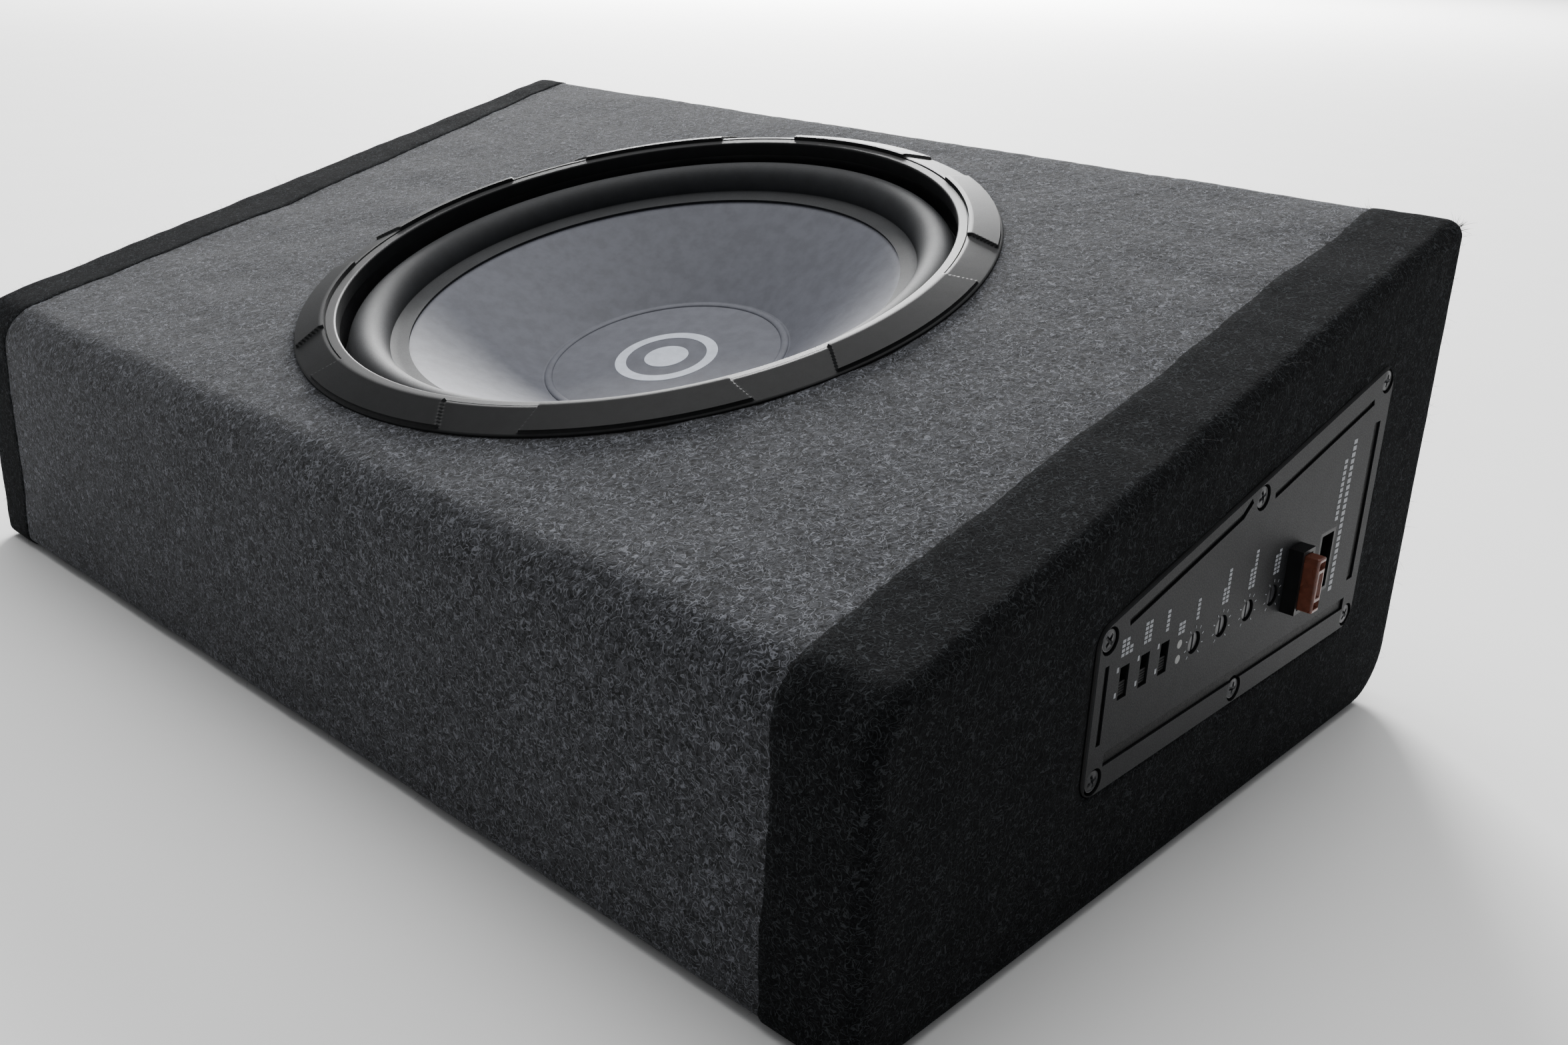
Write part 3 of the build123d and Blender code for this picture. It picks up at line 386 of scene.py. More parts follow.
def start_finish(name, **values):
    """A new material with one Principled shader, its constants on the shader's own sockets."""
    finish = bpy.data.materials.new(name)
    finish.use_nodes = True
    tree = finish.node_tree
    tree.nodes.clear()
    shader = add_node(tree, "ShaderNodeBsdfPrincipled", values)
    add_node(tree, "ShaderNodeOutputMaterial", links={"Surface": shader.outputs["BSDF"]})
    place = add_node(tree, "ShaderNodeTexCoord").outputs["Object"]
    return finish, tree, shader, place


def grain(tree, place, size, detail=3.0, stretch=(1, 1, 1)):
    """Noise whose lumps are about size millimetres across, stretched as asked."""
    scale = tuple(1 / part for part in stretch)
    moved = add_node(tree, "ShaderNodeMapping", {"Scale": scale}, {"Vector": place})
    noise = add_node(
        tree, "ShaderNodeTexNoise", {"Scale": 1 / (size * MM), "Detail": detail, "Roughness": 0.6},
        {"Vector": moved.outputs["Vector"]},
    )
    return noise.outputs["Fac"]


def between(tree, factor, low, high, start=0.35, end=0.65):
    """A value or colour that runs from low to high as the factor goes from start to end."""
    ramp = add_node(tree, "ShaderNodeValToRGB", links={"Fac": factor})
    ramp.color_ramp.elements[0].position = start
    ramp.color_ramp.elements[1].position = end
    for element, value in zip(ramp.color_ramp.elements, (low, high)):
        shade = (value,) * 3 if isinstance(value, float) else tuple(value)[:3]
        element.color = (*shade, 1)
    return ramp.outputs["Color"]


def blended(tree, factor, first, second):
    """Mixes two colours by a factor."""
    mix = add_node(tree, "ShaderNodeMix", {"data_type": "RGBA"})
    tree.links.new(factor, mix.inputs["Factor"])
    colours = [socket for socket in mix.inputs if socket.type == "RGBA"]
    tree.links.new(first, colours[0])
    tree.links.new(second, colours[1])
    return next(socket for socket in mix.outputs if socket.type == "RGBA")


def hairs(tree, place, size, width, turn):
    """Curly lines along a turned noise's middle level: size is their bend in millimetres, width a share."""
    turned = {"Rotation": tuple(radians(part) for part in turn)}
    moved = add_node(tree, "ShaderNodeMapping", turned, {"Vector": place})
    bends = {"Scale": 1 / (size * MM), "Detail": 1.5, "Roughness": 0.5, "Distortion": 0.9}
    noise = add_node(tree, "ShaderNodeTexNoise", bends, {"Vector": moved.outputs["Vector"]})
    ramp = add_node(tree, "ShaderNodeValToRGB", links={"Fac": noise.outputs["Fac"]})
    stops = ramp.color_ramp.elements
    stops[0].position, stops[1].position = 0.5 - width, 0.5 + width
    stops.new(0.5)
    for stop, value in zip(stops, (0.0, 1.0, 0.0)):
        stop.color = (value, value, value, 1)
    return ramp.outputs["Color"]


def flat_colour(tree, value):
    """A colour that enters a mix."""
    made = add_node(tree, "ShaderNodeRGB").outputs[0]
    made.default_value = (*value, 1)
    return made


def dress(tree, shader, tint, rough, heights):
    """Links a colour and a roughness to the shader, and dents the surface.

    Each pair of height source and depth in millimetres adds one bump. A roughness of None leaves
    the shader's own.
    """
    tree.links.new(tint, shader.inputs["Base Color"])
    if rough is not None:
        tree.links.new(rough, shader.inputs["Roughness"])
    previous = None
    for source, depth in heights:
        links = {"Height": source}
        if previous is not None:
            links["Normal"] = previous
        bump = add_node(tree, "ShaderNodeBump", {"Distance": depth * MM, "Strength": 1.0}, links)
        previous = bump.outputs["Normal"]
    tree.links.new(previous, shader.inputs["Normal"])


def mottled(name, low, high, size, dent, rough, stretch=(1, 1, 1), **values):
    """A finish whose colour, roughness and dents all follow one grain of size millimetres."""
    finish, tree, shader, place = start_finish(name, **values)
    pattern = grain(tree, place, size, 4, stretch)
    clouds = grain(tree, place, size * 14, 2)
    dress(tree, shader, between(tree, clouds, low, high), between(tree, pattern, *rough), [(pattern, dent)])
    return finish


def paint(key):
    """A colour of the object's colour settings, as linear red, green and blue."""
    return tuple(getattr(bpy.context.scene.subwoofer_colours, key))


def shade(colour_value, factor):
    """A colour made lighter or darker by a factor."""
    return tuple(min(part * factor, 1.0) for part in colour_value)


# ---------------------------------------------------------------- finishes
def needle_felt_heathered():
    """Polyester carpet felt, needle punched from black, grey and pale fibres: a matt, speckled nap.

    Fibres are 0.03 mm thick, too fine to show, so they are drawn as flecks 0.5 mm by 2.5 mm.
    """
    finish, tree, shader, place = start_finish(
        "needle_felt_heathered", Roughness=1.0,
        **{"Sheen Weight": 0.1, "Sheen Roughness": 0.5, "Specular IOR Level": 0.1},
    )
    dark, light = paint("felt_dark"), paint("felt_light")
    tufts = grain(tree, place, 2.2, 5)
    base = between(tree, tufts, shade(dark, 1.4), shade(light, 0.33), 0.34, 0.68)
    pale, deep = hairs(tree, place, 2.6, 0.035, (24, 18, 38)), hairs(tree, place, 3.1, 0.045, (-32, 28, -47))
    haze = hairs(tree, place, 1.9, 0.05, (61, -20, 12))
    hazed = blended(tree, haze, base, flat_colour(tree, shade(light, 0.45)))
    darkened = blended(tree, deep, hazed, flat_colour(tree, dark))
    flecked = blended(tree, pale, darkened, flat_colour(tree, light))
    dress(tree, shader, flecked, None, [(grain(tree, place, 9, 3), 0.35), (tufts, 0.3), (pale, 0.1)])
    return finish


def needle_felt_black():
    """Polyester carpet felt dyed black: the nap scatters a little light, so folds show as dark grey."""
    finish, tree, shader, place = start_finish(
        "needle_felt_black", Roughness=1.0,
        **{"Sheen Weight": 0.02, "Sheen Roughness": 0.6, "Specular IOR Level": 0.02},
    )
    black = paint("felt_black")
    tufts = grain(tree, place, 0.9, 5)
    base = between(tree, tufts, shade(black, 0.55), shade(black, 1.7), 0.36, 0.68)
    pale, haze = hairs(tree, place, 2.6, 0.03, (24, 18, 38)), hairs(tree, place, 1.8, 0.05, (61, -20, 12))
    hazed = blended(tree, haze, base, flat_colour(tree, shade(black, 3.2)))
    flecked = blended(tree, pale, hazed, flat_colour(tree, shade(black, 8.0)))
    dress(tree, shader, flecked, None, [(grain(tree, place, 11, 3), 0.2), (tufts, 0.35), (pale, 0.1)])
    return finish


def spark_textured_abs():
    """ABS, moulded against a spark-eroded tool: a grey with a fine, even pebble of 0.5 mm.

    The sunk lines and screw recesses get painted shade: what lies over 0.3 mm deep is painted darker.
    """
    finish, tree, shader, place = start_finish("spark_textured_abs", **{"Specular IOR Level": 0.18})
    tint = paint("panel")
    pebble, clouds = grain(tree, place, 0.5, 4), grain(tree, place, 7.0, 2)
    face = between(tree, clouds, shade(tint, 0.85), shade(tint, 1.15))
    # Painted shade: from 0.3 to 0.5 mm below the front the colour falls to a quarter of the panel's, for the
    # shade in the sunk lines and screw recesses.
    depth = add_node(tree, "ShaderNodeSeparateXYZ", links={"Vector": place}).outputs["X"]
    front = PANEL_HIGH.x
    steps = {"From Min": front - 0.5 * MM, "From Max": front - 0.3 * MM}
    raised = add_node(tree, "ShaderNodeMapRange", steps, {"Value": depth}).outputs["Result"]
    shown = blended(tree, raised, flat_colour(tree, shade(tint, 0.25)), face)
    dress(tree, shader, shown, between(tree, pebble, 0.5, 0.68), [(pebble, 0.05)])
    return finish


def tinted_polysulfone():
    """Clear polysulfone tinted red-brown, moulded: light passes through it and darkens."""
    finish, tree, shader, place = start_finish(
        "tinted_polysulfone", **{"Transmission Weight": 0.25, "IOR": 1.6, "Specular IOR Level": 0.35}
    )
    tint = paint("fuse")
    clouds = grain(tree, place, 3.0, 3)
    ripple = grain(tree, place, 6.0, 1)
    shown = between(tree, clouds, shade(tint, 0.8), shade(tint, 1.3))
    dress(tree, shader, shown, between(tree, ripple, 0.25, 0.35), [(ripple, 0.01)])
    return finish


def wave_scale(pitch):
    """Scale of a wave texture whose bands lie about a pitch in millimetres apart."""
    return 1 / (pitch * MM) / 6.2


def dipped_cotton():
    """Cotton cloth dipped in phenolic resin and pressed: honey brown, with a 0.6 mm weave."""
    finish, tree, shader, place = start_finish("dipped_cotton", **{"Specular IOR Level": 0.3})
    threads = []
    for direction in ("X", "Y"):
        wave = add_node(
            tree, "ShaderNodeTexWave",
            {"bands_direction": direction, "Scale": wave_scale(0.6), "Distortion": 0.4},
            {"Vector": place},
        )
        threads.append(wave.outputs["Fac"])
    weave = add_node(tree, "ShaderNodeMath", {"operation": "MAXIMUM"}, {0: threads[0], 1: threads[1]})
    honey = between(tree, weave.outputs[0], linear("#7c5a22"), linear("#b58d3f"), 0.3, 0.9)
    dress(tree, shader, honey, between(tree, threads[0], 0.6, 0.8), [(weave.outputs[0], 0.15)])
    return finish


def wound_copper():
    """Enamelled copper wire, wound: red-brown metal whose turns of 0.8 mm show as fine grooves."""
    finish, tree, shader, place = start_finish("wound_copper", Metallic=0.9)
    turns = add_node(
        tree, "ShaderNodeTexWave",
        {"bands_direction": "Z", "Scale": wave_scale(0.8), "Distortion": 0.3}, {"Vector": place},
    ).outputs["Fac"]
    copper = between(tree, turns, linear("#6b3416"), linear("#c46b37"), 0.1, 0.8)
    dress(tree, shader, copper, between(tree, turns, 0.25, 0.45), [(turns, 0.12)])
    return finish


def solder_masked_laminate():
    """Glass-epoxy laminate under solder mask: green, with the weave and copper showing faintly."""
    finish, tree, shader, place = start_finish("solder_masked_laminate", **{"Coat Weight": 0.3})
    cells = add_node(
        tree, "ShaderNodeTexVoronoi", {"Scale": 1 / (5 * MM), "distance": "MANHATTAN"}, {"Vector": place}
    ).outputs["Distance"]
    mask = between(tree, cells, linear("#1d5a33"), linear("#0c3a20"), 0.3, 0.36)
    dress(tree, shader, mask, between(tree, cells, 0.25, 0.4), [(cells, 0.04)])
    return finish


# Plain finishes: each a row of low and high colour, grain in millimetres, dents in millimetres, least
# and most roughness, then perhaps the grain's stretch, then perhaps constants of the shader. A colour
# is a hex value, or a key of the colour settings with the factor that lightens or darkens it.
PLAIN_FINISHES = {
    # Loose polyester fibres: fine, matt and slightly paler at their bends.
    "polyester_fibre_black": (("felt_black", 1.28), ("felt_black", 2.08), 0.6, 0.01, (0.7, 0.9)),
    "polyester_fibre_grey": (("felt_light", 0.48), ("felt_light", 0.78), 0.6, 0.01, (0.7, 0.9)),
    # ABS, moulded in a finely etched tool: a satin black that keeps long soft highlights.
    "satin_abs_moulded": (
        ("ring", 0.85), ("ring", 1.2), 0.35, 0.012, (0.46, 0.56), {"Specular IOR Level": 0.14}
    ),
    # Butyl rubber, pressed in a polished mould: a smooth grey-black bloom with a soft sheen.
    "butyl_rubber_pressed": (
        ("rubber", 0.85), ("rubber", 1.2), 0.5, 0.01, (0.64, 0.74), {"Specular IOR Level": 0.35}
    ),
    # Mineral-filled polypropylene, moulded: an even, dry grey with a faint grain.
    "polypropylene_cone": (("cone", 0.9), ("cone", 1.12), 0.45, 0.012, (0.6, 0.7)),
    # Pad-printed ink: a thin, flat, slightly mottled layer.
    "pad_print_silver": (("emblem", 0.9), ("emblem", 1.05), 0.3, 0.004, (0.5, 0.62)),
    "pad_print_white": (("legend", 0.9), ("legend", 1.05), 0.3, 0.004, (0.5, 0.62)),
    # Glass-filled nylon, moulded: near black, with faint flow marks.
    "gloss_nylon_moulded": ("#0b0b0c", "#131415", 0.4, 0.012, (0.36, 0.5), {"Specular IOR Level": 0.2}),
    # Acetal, turned and slotted: a waxy dark grey with a faint grain.
    "trimmer_acetal": ("#202124", "#2f3034", 0.25, 0.01, (0.35, 0.5)),
    # Epoxy lamp lens: a dark, milky grey while the lamp is off, with a smooth skin.
    "diffuse_lens": ("#2e3130", "#3d403d", 0.5, 0.004, (0.12, 0.2), {"IOR": 1.5}),
    # Steel screws, black zinc plated: dark, with a thin metal shine.
    "black_zinc_plate": ("#18191b", "#2b2c2f", 0.3, 0.008, (0.32, 0.46), {"Metallic": 0.7}),
    # Pressed steel, electro-coated black: satin, with a slight orange peel.
    "e_coated_steel": ("#0c0c0d", "#17171a", 1.2, 0.015, (0.32, 0.45)),
    # Turned steel, zinc plated: bluish bright metal with fine turning marks.
    "zinc_plated_steel": ("#8d9094", "#b4b7ba", 0.4, 0.01, (0.25, 0.4), (6, 6, 1), {"Metallic": 1.0}),
    # Strontium ferrite, pressed and sintered: charcoal, dry and slightly pitted.
    "sintered_ferrite": ("#232426", "#37383b", 0.8, 0.04, (0.6, 0.8)),
    # Polyethylene foam, cut from sheet: soft, matt and pitted by its cells.
    "closed_cell_foam": ("#161617", "#2a2a2c", 0.7, 0.15, (0.85, 1.0)),
    # Aluminium foil, rolled: bright, with fine lines along the roll.
    "rolled_foil": ("#aeb0b3", "#d0d2d4", 0.3, 0.006, (0.22, 0.36), (1, 1, 8), {"Metallic": 1.0}),
    # Aluminium, extruded: pale metal with die lines along the fins.
    "extruded_aluminium": ("#8f9194", "#b9bbbd", 0.5, 0.02, (0.32, 0.5), (1, 1, 10), {"Metallic": 1.0}),
    # Brass, stamped and tin plated: pale warm metal with rubbed lines where it is pushed in.
    "tinned_brass": ("#a59c86", "#cfc8b4", 0.3, 0.008, (0.25, 0.42), (8, 1, 1), {"Metallic": 1.0}),
    # Tinsel lead, flat copper threads braided over cotton: a coarse glinting rope.
    "braided_tinsel": ("#8a6a3c", "#d9b878", 0.5, 0.2, (0.3, 0.5), {"Metallic": 0.8}),
    # PVC insulation, extruded on wire: smooth, with a waxy shine.
    "pvc_insulation_black": ("#0e0e0f", "#1b1b1d", 0.9, 0.01, (0.35, 0.48), (3, 1, 1)),
    "pvc_insulation_red": ("#7d1010", "#a51c18", 0.9, 0.01, (0.35, 0.48), (3, 1, 1)),
    # Filled phenolic, moulded: dull brown-black, slightly porous.
    "phenolic_moulded": ("#151311", "#282422", 0.5, 0.03, (0.5, 0.7)),
    # Epoxy package, moulded: flat black with a fine ground grain.
    "moulded_package": ("#101011", "#1d1d1f", 0.3, 0.015, (0.5, 0.65)),
    # Ferrite ring, epoxy coated: green, rounded by the thick coat.
    "coated_core": ("#264a37", "#3a6a50", 1.0, 0.02, (0.3, 0.45)),
    # PVC sleeve shrunk on a can: dark blue, glossy, with slight ripples.
    "shrink_sleeve": ("#0c1430", "#16224a", 1.5, 0.02, (0.18, 0.3), (1, 1, 3)),
    # Medium density fibreboard, sawn: tan, with short fibres pressed in layers.
    "raw_fibreboard": ("#8a6c48", "#b1906a", 0.9, 0.06, (0.75, 0.95), (2, 2, 1)),
    # Painted backdrop board: an even off-white with a trace of roller grain.
    "painted_sweep": (("floor", 0.985), ("floor", 1.0), 6.0, 0.02, (0.75, 0.85)),
}


def plain_finish(name):
    """The plain finish of that name, made from its row when it is first asked for."""
    if name in bpy.data.materials:
        return bpy.data.materials[name]
    row = PLAIN_FINISHES[name]
    values = row[-1] if isinstance(row[-1], dict) else {}
    tones = [linear(tone) if isinstance(tone, str) else shade(paint(tone[0]), tone[1]) for tone in row[:2]]
    return mottled(name, *tones, *(part for part in row[2:] if part is not values), **values)


# ---------------------------------------------------------------- carpets
# How far the left black felt reaches along the box, at four places a quarter of the way round apart
# from the low foot, and the least that is left of it after the cut's wander.
LEFT_REACH, LEAST_LEFT_REACH = (25.0, 24.0, 18.0, 34.0), 16.0
# Sines of a hand-cut edge: how often each repeats round the section, and its amplitude.
CUT_WANDER = ((5, 0.5), (9, 0.4), (14, 0.35), (31, 0.2), (67, 0.14), (131, 0.12), (203, 0.1))
OUTLINE_STEP = 2.0
EDGE_FIBRES, ROUND_FIBRES, TUFT_FIBRES, GREY_FIBRES = 700, 800, 60, 2600


def outward(plane_normals, count=1):
    """The section's outward directions as 3-D vectors, repeated for each place along the box."""
    flat = np.concatenate([np.zeros((len(plane_normals), 1)), plane_normals], axis=1)
    return np.tile(flat, (count, 1))


def thicken_inwards(piece, thickness):
    """Gives a felt its thickness in millimetres, behind its modelled face."""
    solid = piece.modifiers.new("felt thickness", "SOLIDIFY")
    solid.thickness = thickness * MM
    solid.offset = -1


def felt_ends():
    """Side, reach at the four quarters and seed of the cut edge, for each black felt end."""
    return ((1, (enclosure().right_wrap,) * 4, 11), (-1, LEFT_REACH, 21))


class SubwooferGreyFelt(bpy.types.Operator):
    """Wraps the box in one sheet of grey felt with a hole for the woofer.

    The surface is the rounded section carried along X on an even lattice. Round the hole a square
    of the lattice is left out and filled by rays from the hole's circle to the square's border.
    Soft swells lift it along its normal, and Solidify gives it the felt's thickness inwards.
    """

    bl_idname = "subwoofer.grey_felt"
    bl_label = "Grey felt"

    def execute(self, context):
        box, woofer = enclosure(), driver()
        cell, square, hole, rays = 4.0, 144.0, woofer.ring_radius - 3.0, 6
        corners, radii = box_corners(box)
        runs, reach = run_lengths(corners, radii)
        lid = np.linalg.norm(corners[3] - corners[2])
        centre = lid / 2 - woofer.up_slope - reach[2]
        lattice = np.linspace(-square, square, int(2 * square / cell) + 1)
        cuts = [even_cuts(run, cell) for run in runs]
        cuts[2] = centre + lattice
        loop, normals, edge = rounded(corners, radii, 8, cuts)
        left_edge = -box.half_length + LEAST_LEFT_REACH - box.overlap
        right_edge = box.half_length - box.right_wrap + box.overlap
        left = np.arange(left_edge, -square - cell / 2, cell)
        right = np.linspace(square, right_edge, 20)[1:]
        xs = np.concatenate([left, lattice, right])
        columns = len(loop)
        points = np.stack(
            [np.repeat(xs, columns), np.tile(loop[:, 0], len(xs)), np.tile(loop[:, 1], len(xs))], axis=1
        )
        guide = outward(normals, len(xs))
        quads = grid_faces(len(xs), columns, wrap_columns=True)
        row, column = quads[:, 0] // columns, quads[:, 0] % columns
        first_row, last_row = len(left), len(left) + len(lattice) - 1
        on_lid = np.flatnonzero(edge == 2)
        first, last = on_lid[0], on_lid[-1]
        inside = (row >= first_row) & (row < last_row) & (column >= first) & (column < last)
        rows = np.arange(first_row, last_row + 1)
        across = np.arange(first, last + 1)
        border = np.concatenate(
            [
                rows * columns + first,
                last_row * columns + across[1:],
                rows[-2::-1] * columns + last,
                first_row * columns + across[-2:0:-1],
            ]
        )
        outer = points[border]
        middle = woofer.centre
        inner = middle + unit(outer - middle) * hole
        shares = np.linspace(0, 1, rays)[:-1, None, None] ** 1.3
        filled = (inner + (outer - inner) * shares).reshape(-1, 3)
        numbers = np.concatenate([len(points) + np.arange(len(filled)), border]).reshape(rays, len(border))
        steps = grid_faces(rays, len(border), wrap_columns=True)
        quads = np.concatenate([quads[~inside], numbers.ravel()[steps]])
        points = np.concatenate([points, filled])
        guide = np.concatenate([guide, np.tile(woofer.outwards, (len(filled), 1))])
        swell = np.where(guide[:, 2] < -0.5, -box.proud, felt_swell(points))
        quads = faces_out(points, quads, guide)
        piece = make_piece(
            "grey_felt_wrap", points + guide * swell[:, None], quads, needle_felt_heathered(),
            node=("grey_carpet", "bottom_carpet"),
        )
        girth, run = box_outline(box, cell)[3] * MM, np.ptp(xs) * MM
        thicken_inwards(piece, box.carpet * 0.95)
        return {"FINISHED"}


def panel_loop(gap):
    """The amplifier panel's outline as (y, z), set outwards by a gap."""
    low, high = box_mm("control_panel")
    box = enclosure()
    rise = (box.tall_height - box.low_height) / (2 * box.half_width)
    drop = rise * (high[1] - low[1])
    lift = gap * np.hypot(1, rise)
    corners = [
        (low[1] - gap, low[2] - gap),
        (high[1] + gap, low[2] - gap),
        (high[1] + gap, high[2] + lift),
        (low[1] - gap, high[2] - drop + lift),
    ]
    return resampled(rounded(corners, 7.0 + gap / 2, 8)[0], 480)


def cut_edge(side, quarter_reach, lengths, total, seed):
    """Where the black felt's cut edge lies along the box: its reach round the section, hand-cut.

    The reach runs straight between its values at the four quarters of the section's length. Sines
    that repeat a whole number of times round the section make the wander and the fray of the cut.
    """
    draw = np.random.default_rng(seed)
    reach = np.interp(lengths / total, np.linspace(0, 1, 5), [*quarter_reach, quarter_reach[0]])
    for repeats, amplitude in CUT_WANDER:
        reach += amplitude * np.sin(2 * pi * repeats * lengths / total + draw.uniform(0, 2 * pi))
    return side * (enclosure().half_length - reach)


def end_cap(name, side, quarter_reach, inner, seed, node, felt):
    """Black felt over one end: cut edge, wrap, rounded edge and flat, as loops of one grid."""
    box = enclosure()
    loop, normals, lengths, total = box_outline(box, OUTLINE_STEP)
    radius, proud = box.end_edge_radius, box.proud
    edge = cut_edge(side, quarter_reach, lengths, total, seed)
    shoulder = side * (box.half_length - radius)
    start = edge + side * 0.7
    rows = [(edge, 0.9), (edge + side * 0.1, -proud * 0.3), (start, -proud)]
    rows += [(start + (shoulder - start) * share, -proud) for share in np.linspace(0, 1, 9)[1:-1]]
    for angle in np.linspace(0, pi / 2, 8):
        x = shoulder + side * (radius + proud) * np.sin(angle)
        rows.append((np.full(len(loop), x), radius - (radius + proud) * np.cos(angle)))
    grid = [np.concatenate([x[:, None], loop - normals * inset], axis=1) for x, inset in rows]
    rim = grid[-1]
    if inner is None:
        target = np.tile([[rim[0, 0], 0.0, (box.low_height + box.tall_height) / 4]], (len(loop), 1))
    else:
        middle = inner.mean(axis=0)
        angles = np.arctan2(inner[:, 1] - middle[1], inner[:, 0] - middle[0])
        order = np.argsort(angles)
        wanted = np.arctan2(rim[:, 2] - middle[1], rim[:, 1] - middle[0])
        radii = np.linalg.norm(inner - middle, axis=1)[order]
        reach = np.interp(wanted, angles[order], radii, period=2 * pi)
        target = np.stack(
            [rim[:, 0], middle[0] + reach * np.cos(wanted), middle[1] + reach * np.sin(wanted)], axis=1
        )
    for share in np.linspace(0, 1, 18)[1:]:
        grid.append(rim + (target - rim) * share)
    points = np.concatenate(grid)
    row = np.arange(len(points)) // len(loop)
    flat = row >= len(rows)
    guide = outward(normals, len(grid))
    guide[flat] = (side, 0, 0)
    swell = felt_swell(points)
    swell[(guide[:, 2] < -0.5) | (row == len(grid) - 1)] = 0
    quads = faces_out(points, grid_faces(len(grid), len(loop), wrap_columns=True))
    points = points + guide * swell[:, None]
    points[:, 2] = np.maximum(points[:, 2], 0.0)
    piece = make_piece(
        name, points, quads, felt, node=(node,), weld=inner is None,
    )
    reach = max(quarter_reach) * MM
    flat = (2 * box.half_width * MM + 2 * reach, box.tall_height * MM + 2 * reach)
    thicken_inwards(piece, box.carpet * 0.9)


class SubwooferBlackFelt(bpy.types.Operator):
    """Wraps both ends in black felt whose hand-cut edge lies on the grey felt."""

    bl_idname = "subwoofer.black_felt"
    bl_label = "Black felt ends"

    def execute(self, context):
        felt = needle_felt_black()
        for (side, reach, seed), name, inner in zip(felt_ends(), ("right", "left"), (panel_loop(0.4), None)):
            end_cap(f"black_felt_{name}", side, reach, inner, seed, f"{name}_end_carpet", felt)
        return {"FINISHED"}


def fibres(name, roots, directions, lengths, curl, thickness, finish, seed):
    """Loose fibres as three-sided tubes.

    A fibre's line is root + direction * t * length + a seeded sideways bend * t squared, and its
    radius shrinks to nothing at the tip.
    """
    draw = np.random.default_rng(seed)
    steps = np.linspace(0, 1, 6)
    bend = draw.normal(size=roots.shape) * curl * lengths[:, None]
    line = roots[:, None] + directions[:, None] * (steps[:, None] * lengths[:, None, None])
    line = line + bend[:, None] * steps[:, None] ** 2
    ahead = unit(np.gradient(line, axis=1))
    side = unit(np.cross(ahead, [0.31, 0.22, 0.92]))
    third = np.cross(ahead, side)
    radius = thickness * np.sqrt(1.02 - steps)[None, :, None, None]
    turn = np.arange(3) * 2 * pi / 3
    ring = side[:, :, None] * np.cos(turn)[:, None] + third[:, :, None] * np.sin(turn)[:, None]
    points = (line[:, :, None] + ring * radius).reshape(-1, 3)
    one = grid_faces(len(steps), 3, wrap_columns=True)
    quads = (one[None] + (np.arange(len(roots)) * len(steps) * 3)[:, None, None]).reshape(-1, 4)
    count = len(steps) * 3
    starts = np.arange(len(roots))[:, None] * count
    ends = np.concatenate([starts + [2, 1, 0], starts + [count - 3, count - 2, count - 1]])
    faces = quads[:, ::-1].tolist() + ends[:, ::-1].tolist()
    mesh = bpy.data.meshes.new(name)
    mesh.from_pydata((points * MM).tolist(), [], faces)
    mesh.validate()
    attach(finished_object(name, mesh, finish, folds=False), "root")


class SubwooferStrayFibres(bpy.types.Operator):
    """Adds loose fibres: along both cut edges, round the ends' rounded edges and over the grey felt."""

    bl_idname = "subwoofer.stray_fibres"
    bl_label = "Stray fibres"

    def execute(self, context):
        box = enclosure()
        draw = np.random.default_rng(5)
        loop, normals, lengths, total = box_outline(box, OUTLINE_STEP)
        out = outward(normals)
        upper = np.flatnonzero(loop[:, 1] > 3.0)
        roots, ways = [], []
        for side, reach, seed in felt_ends():
            edge = cut_edge(side, reach, lengths, total, seed)
            picked = draw.choice(upper, EDGE_FIBRES)
            root = np.concatenate([edge[picked, None], loop[picked]], axis=1)
            root = root + draw.normal(size=root.shape) * 0.4
            roots.append(root + out[picked] * 0.2)
            ways.append(out[picked] * 0.7 + draw.normal(size=root.shape) * 0.5 - np.array([side * 0.8, 0, 0]))
            picked = draw.choice(upper, ROUND_FIBRES)
            lean = draw.uniform(0.1, 1.4, (len(picked), 1))
            radius = box.end_edge_radius
            x = side * (box.half_length - radius + radius * np.sin(lean))
            root = np.concatenate([x, loop[picked] - normals[picked] * radius * (1 - np.cos(lean))], axis=1)
            facing = out[picked] * np.cos(lean) + np.array([side, 0, 0]) * np.sin(lean)
            roots.append(root)
            ways.append(facing + draw.normal(size=root.shape) * 0.6)
        roots, ways = np.concatenate(roots), unit(np.concatenate(ways))
        black = plain_finish("polyester_fibre_black")
        sizes_mm = draw.uniform(1.0, 3.2, len(roots))
        fibres("black_stray_fibres", roots, ways, sizes_mm, 0.45, 0.04, black, 6)
        corner = np.array([box.half_length - 3.4, box.half_width - 3.8, box.tall_height - 5.0])
        roots = corner + draw.normal(size=(TUFT_FIBRES, 3)) * [0.8, 1.4, 0.5]
        ways = unit(np.array([0.5, 0.6, 0.7]) + draw.normal(size=(TUFT_FIBRES, 3)) * 0.45)
        fibres("corner_tuft", roots, ways, draw.uniform(2.5, 6.0, TUFT_FIBRES), 0.3, 0.08, black, 7)
        picked = draw.choice(upper, GREY_FIBRES)
        x = draw.uniform(-box.half_length + 36, box.half_length - box.right_wrap - 2, len(picked))
        roots = np.concatenate([x[:, None], loop[picked]], axis=1)
        ring = driver()
        away = np.linalg.norm(roots - ring.centre, axis=1) > ring.ring_radius + 1
        roots, facing = roots[away], out[picked][away]
        ways = unit(facing * 0.5 + draw.normal(size=roots.shape) * 0.7)
        grey = plain_finish("polyester_fibre_grey")
        sizes_mm = draw.uniform(0.7, 2.2, len(roots))
        fibres("grey_stray_fibres", roots + facing * 0.1, ways, sizes_mm, 0.4, 0.04, grey, 8)
        return {"FINISHED"}


